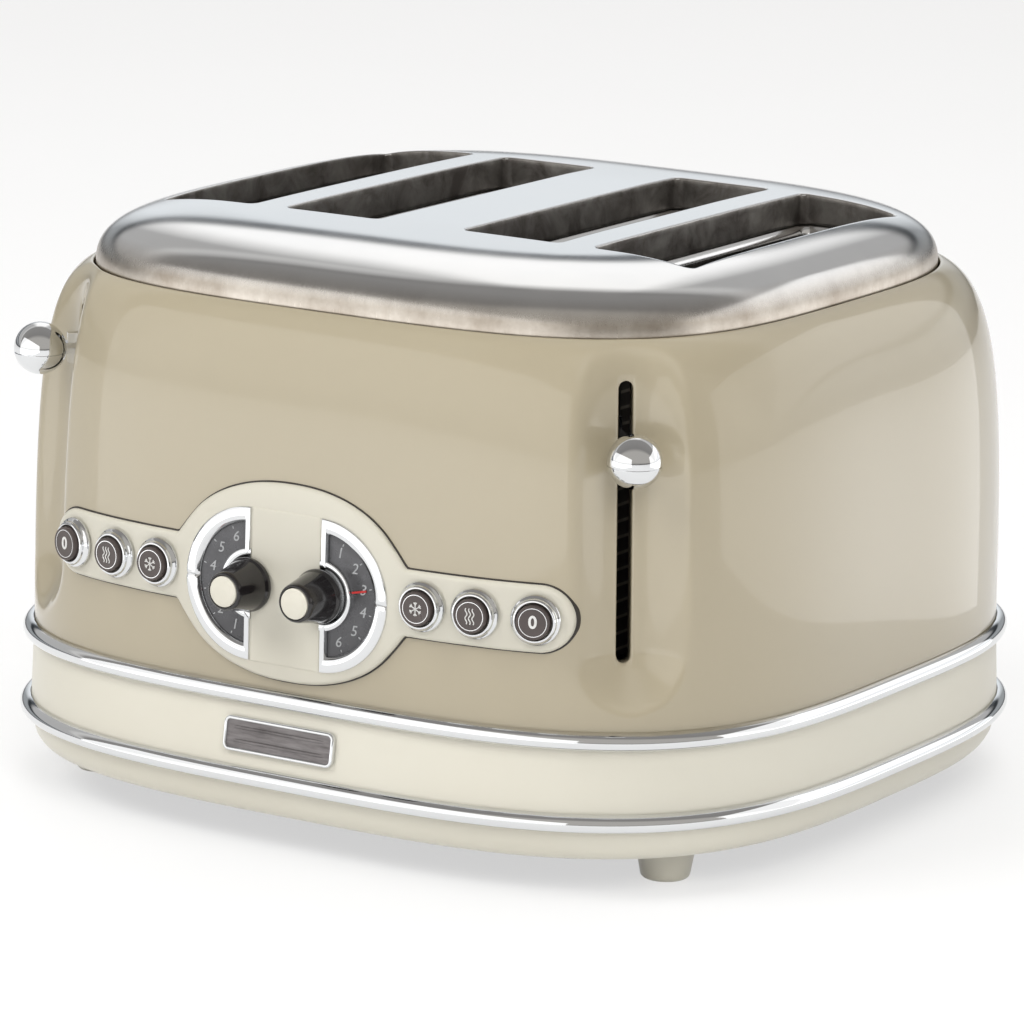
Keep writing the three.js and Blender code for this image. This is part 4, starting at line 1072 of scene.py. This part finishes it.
def half_disc_loop(sign, radius, bar, arc_steps, bar_steps):
    """A closed loop of a half disc: round the arc from below, then back down the straight side."""
    tilt = math.asin(bar / radius)
    turns = np.linspace(-math.pi / 2 + tilt, math.pi / 2 - tilt, arc_steps)
    arc_x = DIAL_X + radius * np.cos(turns)
    arc_z = DIAL_Z + radius * np.sin(turns)
    back_z = np.linspace(arc_z[-1], arc_z[0], bar_steps + 2)[1:-1]
    back_x = np.full(bar_steps, DIAL_X + bar)
    return sign * np.concatenate([arc_x, back_x]), np.concatenate([arc_z, back_z])


# Sections of the dials' parts: the share or radius outwards of each point, and its height on the body
ARC_STEPS = 97
DIAL_FRAME_SECTION = (
    (0, 1.3), (0, 3.1), (0.03, 3.5), (0.12, 3.82), (0.2, 3.9), (0.5, 3.9), (0.74, 3.84), (0.82, 3.7),
    (0.9, 3.2), (0.97, 2.7), (1, 2.4), (1, 1.3),
)
DIAL_FACE_SECTION = ((1, 1.3), (1, 2.15), (0.985, 2.2), (0.7, 2.2), (0.4, 2.2), (0.1, 2.2), (0, 2.2))
HUB_SECTION = ((12.2, 1.2), (12.2, 3.2), (12.05, 3.45), (11.6, 3.6), (9.9, 3.6), (9.7, 3.4), (0.5, 3.4))
BAR_UNDER_HUB = 1.9
NUMERAL_RADIUS = 16.7
NUMERAL_TURN = 66
TICK_REACH = (19.4, 20.3)
POINTER_REACH = (12.4, 18.2)


def build_dial_frame(side, sign):
    outer_x, outer_z = half_disc_loop(sign, DIAL_RADIUS, 0, ARC_STEPS, 61)
    inner_x, inner_z = half_disc_loop(sign, DIAL_INNER_RADIUS, DIAL_BAR, ARC_STEPS, 61)
    on_bar = np.zeros(len(outer_x), bool)
    on_bar[ARC_STEPS:] = np.abs(outer_z[ARC_STEPS:] - DIAL_Z) < DIAL_RING_RADIUS - 0.4
    rings = []
    for share, height in DIAL_FRAME_SECTION:
        x = mix(outer_x, inner_x, share)
        z = mix(outer_z, inner_z, share)
        low = np.where(on_bar, np.minimum(height, BAR_UNDER_HUB), height)
        notch = np.exp(-((z - DIAL_Z) / 0.35) ** 2) * (np.abs(x) > DIAL_X + 12) * 0.5
        rings.append(front_point(x, z, low - notch * (height > 2)))
    rings.append(rings[0])
    swept_piece(f"dial_bezel_{side}", rings, CHROME, [f"dial_frame_{side}"], 32)


def build_dial_face(side, sign):
    edge_x, edge_z = half_disc_loop(sign, DIAL_INNER_RADIUS - 0.1, DIAL_BAR + 0.1, 61, 31)
    centre_x, centre_z = sign * (DIAL_X + 9), DIAL_Z
    rings = []
    for share, height in DIAL_FACE_SECTION:
        x = mix(centre_x, edge_x, share)
        z = mix(centre_z, edge_z, share)
        rings.append(front_point(x, z, height))
    swept_piece(f"dial_plate_{side}", rings, DIAL_GREY, [f"dial_face_{side}"])
    build_hub(side, sign)


def build_hub(side, sign):
    """The bright half ring round a knob, on the dial's side of the middle block."""
    turns = np.linspace(-math.pi / 2, math.pi / 2, 49)
    rings = []
    for radius, height in HUB_SECTION:
        x = sign * (DIAL_X - GAP + radius * np.cos(turns))
        z = DIAL_Z + radius * np.sin(turns)
        rings.append(front_point(x, z, height))
    swept_piece(f"dial_hub_{side}", rings, CHROME, closed=False)


def flat_on_front(piece_points, centre_x, centre_z, out):
    """Flat drawn points, with their third value as height, laid on the front face."""
    x = centre_x + piece_points[:, 0]
    z = centre_z + piece_points[:, 1]
    return front_point(x, z, out + piece_points[:, 2])


def text_shape(text, size, slant=0.0, thickness=0.08, bold=0.0):
    curve = bpy.data.curves.new("drawn_text", "FONT")
    curve.body = text
    curve.size = size
    curve.shear = slant
    curve.align_x = "CENTER"
    curve.align_y = "CENTER"
    curve.extrude = thickness
    curve.offset = bold
    curve.resolution_u = 4
    carrier = add_object("drawn_text", curve)
    shape = bpy.data.meshes.new_from_object(carrier.evaluated_get(bpy.context.evaluated_depsgraph_get()))
    points = np.array([v.co for v in shape.vertices])
    faces = [tuple(p.vertices) for p in shape.polygons]
    bpy.data.objects.remove(carrier)
    bpy.data.curves.remove(curve)
    bpy.data.meshes.remove(shape)
    return points, faces


def stroke_shape(paths, width, thickness=0.1):
    """Flat strips along paths, as closed thin boxes."""
    points, faces = [], []
    for path in paths:
        path = np.asarray(path, float)
        along = np.gradient(path, axis=0)
        along /= np.linalg.norm(along, axis=1, keepdims=True)
        side = np.column_stack([-along[:, 1], along[:, 0]]) * width / 2
        start = len(points)
        for height, way in ((-thickness, 1), (thickness, 1), (thickness, -1), (-thickness, -1)):
            for p, s in zip(path, side):
                points.append((p[0] + way * s[0], p[1] + way * s[1], height))
        n = len(path)
        for band in range(4):
            other = (band + 1) % 4
            for k in range(n - 1):
                a, b = start + band * n + k, start + band * n + k + 1
                c, d = start + other * n + k + 1, start + other * n + k
                faces.append((a, b, c, d))
        for k in (0, n - 1):
            faces.append(tuple(start + band * n + k for band in range(4)))
    return np.array(points), faces


def joined(shapes):
    points, faces = [], []
    count = 0
    for shape_points, shape_faces in shapes:
        points.append(shape_points)
        faces += [tuple(v + count for v in face) for face in shape_faces]
        count += len(shape_points)
    return np.vstack(points), faces


def build_numerals(side, sign):
    shapes = []
    for place in range(6):
        turn = math.radians(NUMERAL_TURN - 2 * NUMERAL_TURN * place / 5)
        number = place + 1 if side == "right" else 6 - place
        points, faces = text_shape(str(number), 5.2, 0.2)
        x = sign * (DIAL_X + NUMERAL_RADIUS * math.cos(turn))
        z = DIAL_Z + NUMERAL_RADIUS * math.sin(turn)
        shapes.append((flat_on_front(points, x, z, DIAL_FACE_THICKNESS + 0.05), faces))
        tick = stroke_shape([[(sign * r * math.cos(turn), r * math.sin(turn)) for r in TICK_REACH]], 0.35)
        shapes.append((flat_on_front(tick[0], sign * DIAL_X, DIAL_Z, DIAL_FACE_THICKNESS), tick[1]))
    points, faces = joined(shapes)
    piece = make_piece(f"dial_numerals_{side}", points, faces, PALE_INK, "toaster", (), 30)
    face_outwards(piece)


def build_pointer(side, sign):
    """A thin red pointer that turns with the knob and stays on its dial over the joint's whole range."""
    turn = math.radians(POINTER_TURNS[side])
    direction = np.array([sign * math.cos(turn), math.sin(turn)])
    points, faces = stroke_shape([[direction * reach for reach in POINTER_REACH]], 0.7, 0.12)
    points = flat_on_front(points, sign * DIAL_X, DIAL_Z, DIAL_FACE_THICKNESS + 0.35)
    face_outwards(make_piece(f"dial_pointer_{side}", points, faces, RED_INK, f"dial_{side}",
                             (), 30))


KNOB_PROFILE = (
    (0, 0.1), (9.0, 0.1), (9.4, 0.3), (9.4, 1.5), (9.1, 2.1), (8.7, 2.8),
    (6.75, 13.6), (6.4, 14.6), (6.0, 15.0), (5.6, 15.0), (5.6, 14.2), (0, 14.2),
)
KNOB_CAP_PROFILE = (
    (0, 13.9), (5.2, 13.9), (5.3, 14.1), (5.3, 15.1), (5.0, 15.35), (3.6, 15.62), (1.8, 15.76), (0, 15.8),
)


def build_knobs():
    for side, sign in SIDES.items():
        matrix = front_frame(sign * DIAL_X, DIAL_Z, DIAL_RING_THICKNESS + GAP)
        turned_piece(f"knob_skin_{side}", KNOB_PROFILE, BLACK_GLOSS, f"dial_{side}",
                     [f"knob_{side}"], matrix, 72, 0.35)
        turned_piece(f"knob_cap_skin_{side}", KNOB_CAP_PROFILE, CREAM, f"dial_{side}",
                     [f"knob_cap_{side}"], matrix, 56, 0.15)


def wave_paths():
    paths = []
    for offset in (-1.25, 0, 1.25):
        heights = np.linspace(-2.7, 2.7, 19)
        paths.append(np.column_stack([offset + 0.35 * np.sin(heights * 2.2), heights]))
    return paths


def snow_paths():
    paths = []
    for k in range(6):
        turn = math.radians(30 + 60 * k)
        direction = np.array([math.cos(turn), math.sin(turn)])
        paths.append([direction * 0.15, direction * 2.35])
        for bend in (-1, 1):
            tip = turn + bend * math.radians(38)
            branch = np.array([math.cos(tip), math.sin(tip)])
            paths.append([direction * 1.45, direction * 1.45 + branch * 0.95])
    return paths


def button_symbol(place):
    if place == 0:
        return stroke_shape(snow_paths(), 0.3)
    if place == 1:
        return stroke_shape(wave_paths(), 0.34)
    return text_shape("0", 6.0, 0, 0.1, 0.14)


BEZEL_PROFILE = (
    (6.15, 0), (8.7, 0), (8.7, 0.7), (8.45, 1.25), (7.95, 1.7), (7.6, 2.1), (7.45, 2.8), (7.1, 3.3),
    (6.6, 3.4), (6.3, 3.15), (6.15, 2.6), (6.15, 0),
)
BUTTON_PROFILE = (
    (0, 2), (5.7, 2), (5.8, 2.2), (5.8, 4.6), (5.6, 4.95), (5.35, 5.0), (5.15, 4.82), (4.9, 4.72), (0, 4.7),
)
BUTTON_LINE_PROFILE = ((4.65, 4.65), (4.9, 4.65), (4.9, 4.8), (4.65, 4.8), (4.65, 4.65))
SYMBOL_HEIGHT = 4.75


def build_buttons():
    for side, sign in SIDES.items():
        for place, x in enumerate(BUTTON_XS):
            key = f"{side}_{place + 1}"
            body = f"key_{key}"
            matrix = front_frame(sign * x, PANEL_Z, STRIP_THICKNESS + GAP)
            turned_piece(f"bezel_ring_{key}", BEZEL_PROFILE, CHROME, "toaster",
                         [f"button_bezel_{key}"], matrix, 64, 0.12, sharp=50)
            turned_piece(f"button_skin_{key}", BUTTON_PROFILE, BUTTON_GREY, body,
                         [f"button_{key}"], matrix, 56, 0.1)
            turned_piece(f"button_line_{key}", BUTTON_LINE_PROFILE, SATIN_CHROME, body, (),
                         matrix, 56)
            points, faces = button_symbol(place)
            points = points + np.array([0, 0, SYMBOL_HEIGHT])
            face_outwards(make_piece(f"button_symbol_{key}", points, faces, WHITE_INK, body,
                                     (), 30, matrix=matrix))


# Levers

SEAM_AT = -1.2
SEAM_HALF_WIDTH = 0.28
SEAM_DEPTH = 0.35


def ball_profile():
    """Half a circle with a fine seam cut a little below its middle."""
    profile = []
    for step in range(49):
        turn = -math.pi / 2 + math.pi * step / 48
        radius, height = BALL_RADIUS * math.cos(turn), BALL_RADIUS * math.sin(turn)
        if abs(height - SEAM_AT) < SEAM_HALF_WIDTH:
            radius -= SEAM_DEPTH
        profile.append((max(radius, 0), height))
    low, high = SEAM_AT - SEAM_HALF_WIDTH, SEAM_AT + SEAM_HALF_WIDTH
    for height, cut in ((low, 0), (low, SEAM_DEPTH), (high, SEAM_DEPTH), (high, 0)):
        profile.append((math.sqrt(BALL_RADIUS ** 2 - height ** 2) - cut, height))
    return sorted(profile, key=lambda pair: pair[1])


def build_balls():
    profile = ball_profile()
    for side in SIDES:
        along, _ = corner_directions(side)
        matrix = Matrix.Translation((along[0] * BALL_REACH, along[1] * BALL_REACH, BALL_Z[side]))
        turned_piece(f"ball_skin_{side}", profile, CHROME, f"lever_{side}",
                     [f"lever_ball_{side}"], matrix, 72, sharp=50)


# Badge and gland

def rounded_loop(width, height, corner, steps=6):
    turns = np.linspace(0, math.pi / 2, steps + 1)
    loop = []
    for quarter, (sx, sy) in enumerate(((1, 1), (-1, 1), (-1, -1), (1, -1))):
        for turn in turns:
            angle = turn + quarter * math.pi / 2
            loop.append((sx * (width / 2 - corner) + corner * math.cos(angle),
                         sy * (height / 2 - corner) + corner * math.sin(angle)))
    return np.array(loop)


def skirt_front(x, z, out):
    half_x, half_y, squareness = skirt_section(skirt_share(z), out)
    y = -half_y * (1 - np.abs(x / half_x) ** squareness) ** (1 / squareness)
    return np.stack([x, y, z], axis=-1)


BADGE_RIM_SECTION = ((0, 0.2), (0, 1.3), (0.15, 1.65), (0.5, 1.9), (0.95, 1.9), (1.25, 1.6), (1.3, 1.1))
BADGE_STEPS = 60


def build_badge():
    width, height = BADGE_SIZE
    z = SKIRT_MIDDLE_Z
    rings = []
    for inset, out in BADGE_RIM_SECTION:
        loop = rounded_loop(width - 2 * inset, height - 2 * inset, max(2.6 - inset, 0.6))
        rings.append(skirt_front(BADGE_X + loop[:, 0], z + loop[:, 1], np.full(len(loop), out)))
    swept_piece("badge_rim", rings, CHROME, ["badge_plate"])
    x, up = np.meshgrid(*(np.linspace(-size / 2, size / 2, BADGE_STEPS)
                          for size in (width - 2.4, height - 2.4)))
    rib = 0.25 * smooth_step(0.55, 0.35, np.abs(np.abs(up) - 2.3)) * smooth_step(18.5, 17.5, np.abs(x))
    field = skirt_front(BADGE_X + x, z + up, 1.15 + rib)
    faces = grid_faces(BADGE_STEPS, BADGE_STEPS)
    make_piece("badge_field", field.reshape(-1, 3), faces, BADGE_GREY, "toaster", (), 30)


GLAND_PROFILE = (
    (4.6, -6.9), (7, -6.9), (7, 0.3), (8.6, 0.3), (9, 0.6), (9, 1.4), (8.6, 1.9), (7.2, 2.1), (6.6, 1.7),
    (5.9, 1.7), (5.3, 2.2), (4.8, 2.2), (4.6, 1.9), (4.6, -6.9),
)


def build_gland():
    taper = math.atan2(LIP_HALF[1] - SEAM_HALF[1], SEAM_Z - BEAD_LOW_Z)
    rear = mix(LIP_HALF[1], SEAM_HALF[1], 0.5)
    matrix = Matrix.Translation((0, rear, SKIRT_MIDDLE_Z)) @ Matrix.Rotation(taper - math.pi / 2, 4, "X")
    turned_piece("gland_skin", GLAND_PROFILE, BLACK_GLOSS, "toaster", ["cord_gland"],
                 matrix, 64, 0.15)


# Frames inside the bread slots

# The frames' section: how far each point stands outside the slot, and its height
FRAME_SECTION = (
    (0.2, 194.9), (-0.2, 195.1), (-1.0, 194.6), (-1.7, 193.2), (-1.9, 191.6), (-1.7, 190.4), (-0.9, 190.0),
    (0.2, 190.2), (0.2, 194.9),
)


def build_slot_frames():
    y_middle = (SLOT_YS[0] + SLOT_YS[1]) / 2
    length = SLOT_YS[1] - SLOT_YS[0]
    for side, sign in SIDES.items():
        for place, (low, high) in enumerate(SLOT_XS):
            rings = []
            for outset, z in FRAME_SECTION:
                loop = rounded_loop(high - low + 2 * outset, length + 2 * outset, SLOT_CORNER)
                rings.append(np.column_stack([
                    sign * (low + high) / 2 + loop[:, 0], y_middle + loop[:, 1], np.full(len(loop), z)]))
            swept_piece(f"slot_frame_{side}_{place + 1}", rings, SATIN_CHROME)


def build_springs():
    """Coils at the return springs' places, wound over each spring's height; on the real toaster they flatten
    under the carriages as the levers go down.
    """
    steps, sides = SPRING_TURNS * 24, 8
    turns = np.linspace(0, 2 * math.pi * SPRING_TURNS, steps + 1)
    outward = np.column_stack([np.cos(turns), np.sin(turns), np.zeros(steps + 1)])
    around = np.linspace(0, 2 * math.pi, sides, endpoint=False)
    for side in SIDES:
        low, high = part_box(f"return_spring_{side}")
        middle = (low + high) / (2 * MM)
        height = (high.z - low.z) / MM
        line = outward * SPRING_RADIUS + np.array([middle.x, middle.y, 0])
        line[:, 2] = low.z / MM + mix(SPRING_WIRE, height - SPRING_WIRE, turns / turns[-1])
        offsets = (np.cos(around)[None, :, None] * outward[:, None, :]
                   + np.sin(around)[None, :, None] * np.array([0, 0, 1]))
        rings = line[:, None, :] + SPRING_WIRE * offsets
        faces = grid_faces(steps + 1, sides, closed=True)
        faces += [tuple(range(sides)), tuple(steps * sides + k for k in range(sides))]
        piece = make_piece(f"coil_{side}", rings.reshape(-1, 3), faces, SATIN_CHROME, "toaster",
                           [f"return_spring_{side}"], 60, own_frame=False)
        face_outwards(piece)
        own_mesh(piece)


def dress_solids():
    finishes = {
        "lever_arm": CHROME, "carriage": STEEL, "bread_rack": STEEL, "guide_rod": SATIN_CHROME,
        "electromagnet": COPPER, "chassis": STEEL, "heater_board": MICA,
        "circuit_board": BOARD, "crumb_tray": TRAY_STEEL, "bottom_cover": COVER_GREY,
    }
    for name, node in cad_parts.items():
        for start, finish in finishes.items():
            if name.startswith(start):
                node.data.materials.clear()
                node.data.materials.append(finish)


# Stage, lights and camera

FLOOR_LIFT = 0.6
FLOOR_HALF = 6.0


def seen_directly(tree):
    """One for what the camera sees, straight or through metal and glass."""
    path = add_node(tree, "ShaderNodeLightPath")
    total = path.outputs["Is Camera Ray"]
    for name in ("Is Glossy Ray", "Is Transmission Ray"):
        total = math_node(tree, "MAXIMUM", total, path.outputs[name])
    return total


def build_stage():
    made = Finish("pale_floor", (0.93, 0.93, 0.93), 0.7, Specular_IOR_Level=0.1)
    made.use("Base Color", made.blend_color(made.noise(3, 2), (0.92, 0.92, 0.92), (0.94, 0.94, 0.94)))
    glow = made.node("ShaderNodeEmission").outputs["Emission"]
    lifted = math_node(made.tree, "MULTIPLY", seen_directly(made.tree), FLOOR_LIFT)
    blend = made.node("ShaderNodeMixShader", {0: lifted, 1: made.shader.outputs["BSDF"], 2: glow})
    made.tree.links.new(blend.outputs["Shader"], made.tree.nodes["Material Output"].inputs["Surface"])
    data = bpy.data.meshes.new("floor")
    corners = [(x * FLOOR_HALF, y * FLOOR_HALF, 0) for x, y in ((-1, -1), (1, -1), (1, 1), (-1, 1))]
    data.from_pydata(corners, [], [(0, 1, 2, 3)])
    data.materials.append(made.material)
    floor = add_object("floor", data)


# The studio's brightness along the arc from the far horizon over the top to the horizon behind the camera
STUDIO = (
    (0.0, (0.55, 0.56, 0.58)),
    (0.045, (0.93, 0.97, 1.0)),
    (0.088, (0.93, 0.97, 1.0)),
    (0.097, (0.1, 0.11, 0.12)),
    (0.112, (0.1, 0.11, 0.12)),
    (0.128, (1.32, 1.31, 1.3)),
    (0.31, (1.32, 1.3, 1.27)),
    (0.37, (0.32, 0.31, 0.3)),
    (0.62, (0.27, 0.26, 0.25)),
    (0.7, (0.5, 0.48, 0.45)),
    (0.95, (0.5, 0.48, 0.45)),
    (1.0, (0.33, 0.32, 0.3)),
)
FAR_SIDE = (-0.529, 0.849, 0)
RIGHT_SIDE = (0.849, 0.529, 0)


def build_world():
    """A studio that depends only on the direction in the object's frame, dimmer at the far side's wings."""
    world = bpy.data.worlds.new("studio")
    bpy.context.scene.world = world
    world.use_nodes = True
    tree = world.node_tree
    direction = add_node(tree, "ShaderNodeTexCoord").outputs["Generated"]
    upward = add_node(tree, "ShaderNodeSeparateXYZ", {"Vector": direction}).outputs["Z"]

    def along(way):
        made = add_node(tree, "ShaderNodeVectorMath", {0: direction, 1: way}, operation="DOT_PRODUCT")
        return made.outputs["Value"]

    arc = map_range(tree, math_node(tree, "ARCTAN2", upward, along(FAR_SIDE)), 0, 1, 0, math.pi)
    ramp = add_node(tree, "ShaderNodeValToRGB", {"Fac": arc})
    while len(ramp.color_ramp.elements) < len(STUDIO):
        ramp.color_ramp.elements.new(0.5)
    for element, (position, color) in zip(ramp.color_ramp.elements, STUDIO):
        element.position = position
        element.color = (*color, 1)
    horizon = map_range(tree, upward, 0.45, 1, 0, 0.08)
    far_wings = map_range(tree, math_node(tree, "ABSOLUTE", along(RIGHT_SIDE)), 1, 0.4, 0.15, 0.3)
    near_half = map_range(tree, arc, 0, 1, 0.2, 0.4)
    strength = math_node(tree, "MULTIPLY", horizon, math_node(tree, "MAXIMUM", far_wings, near_half))
    background = tree.nodes["Background"]
    tree.links.new(ramp.outputs["Color"], background.inputs["Color"])
    tree.links.new(strength, background.inputs["Strength"])


def add_light(name, place, size, power, aim=(0, 0, 0.1), lights_up=True):
    """A soft lamp, or a bright panel that only shows in reflections."""
    data = bpy.data.lights.new(name, "AREA")
    data.shape = "RECTANGLE"
    data.size, data.size_y = size
    data.energy = power
    light = add_object(name, data)
    light.location = place
    light.rotation_euler = (Vector(aim) - Vector(place)).to_track_quat("-Z", "Y").to_euler()
    light.visible_camera = False
    light.visible_glossy = not lights_up
    light.visible_diffuse = lights_up


AZIMUTH = math.radians(31.94)
ELEVATION = math.radians(12.68)
ROLL = math.radians(1.18)
FOCAL_PIXELS = 5827.0
PICTURE_PIXELS = 1024.0
SENSOR = 36.0
VIEW_DISTANCE = 2078.6
AIM = Vector((7.88, 0, 94.5))
VIEW_MIDDLE = (539.8, 511.7)


def build_camera():
    back = Vector((math.sin(AZIMUTH) * math.cos(ELEVATION), -math.cos(AZIMUTH) * math.cos(ELEVATION),
                   math.sin(ELEVATION)))
    right = Vector((math.cos(AZIMUTH), math.sin(AZIMUTH), 0))
    up = back.cross(right)
    rolled_right = right * math.cos(ROLL) + up * math.sin(ROLL)
    rolled_up = back.cross(rolled_right)
    data = bpy.data.cameras.new("camera")
    data.sensor_width = SENSOR
    data.lens = FOCAL_PIXELS * SENSOR / PICTURE_PIXELS
    data.shift_x = (PICTURE_PIXELS / 2 - VIEW_MIDDLE[0]) / PICTURE_PIXELS
    data.shift_y = (VIEW_MIDDLE[1] - PICTURE_PIXELS / 2) / PICTURE_PIXELS
    data.clip_end = 50
    camera = add_object("camera", data)
    turn = Matrix((rolled_right, rolled_up, back)).transposed().to_4x4()
    camera.matrix_world = Matrix.Translation((AIM + SHIFT + back * VIEW_DISTANCE) * MM) @ turn
    bpy.context.scene.camera = camera


# Each lamp's name, place, size in metres and power; the two panels also what they face, and no lighting up
LIGHTS = (
    ("key_left", (-1.3, -1.7, 2.3), (1.5, 1.5), 40),
    ("fill_right", (1.5, -1.5, 1.9), (1.2, 1.6), 29),
    ("top", (0.1, 0.5, 2.6), (2.2, 2.2), 24),
    ("panel_front", (-0.053, -0.585, 0.21), (0.99, 0.42), 1.2, (0.157, -0.246, 0.21), False),
    ("panel_right", (0.515, 0.163, 0.21), (0.73, 0.42), 0.85, (0.345, -0.102, 0.21), False),
)


build_camera()
build_world()
for light_values in LIGHTS:
    add_light(*light_values)
build_stage()
build_body()
build_plate()
build_skirt()
build_bead("upper_bead_skin", "upper_bead", SEAM_Z)
build_bead("lower_bead_skin", "lower_bead", BEAD_LOW_Z)
build_feet()
build_panel()
for dial in SIDES.items():
    build_dial_frame(*dial)
    build_dial_face(*dial)
    build_numerals(*dial)
    build_pointer(*dial)
build_knobs()
build_buttons()
build_balls()
build_badge()
build_gland()
build_slot_frames()
build_springs()
dress_solids()

bpy.context.scene.view_settings.view_transform = "Standard"
bpy.context.view_layer.update()
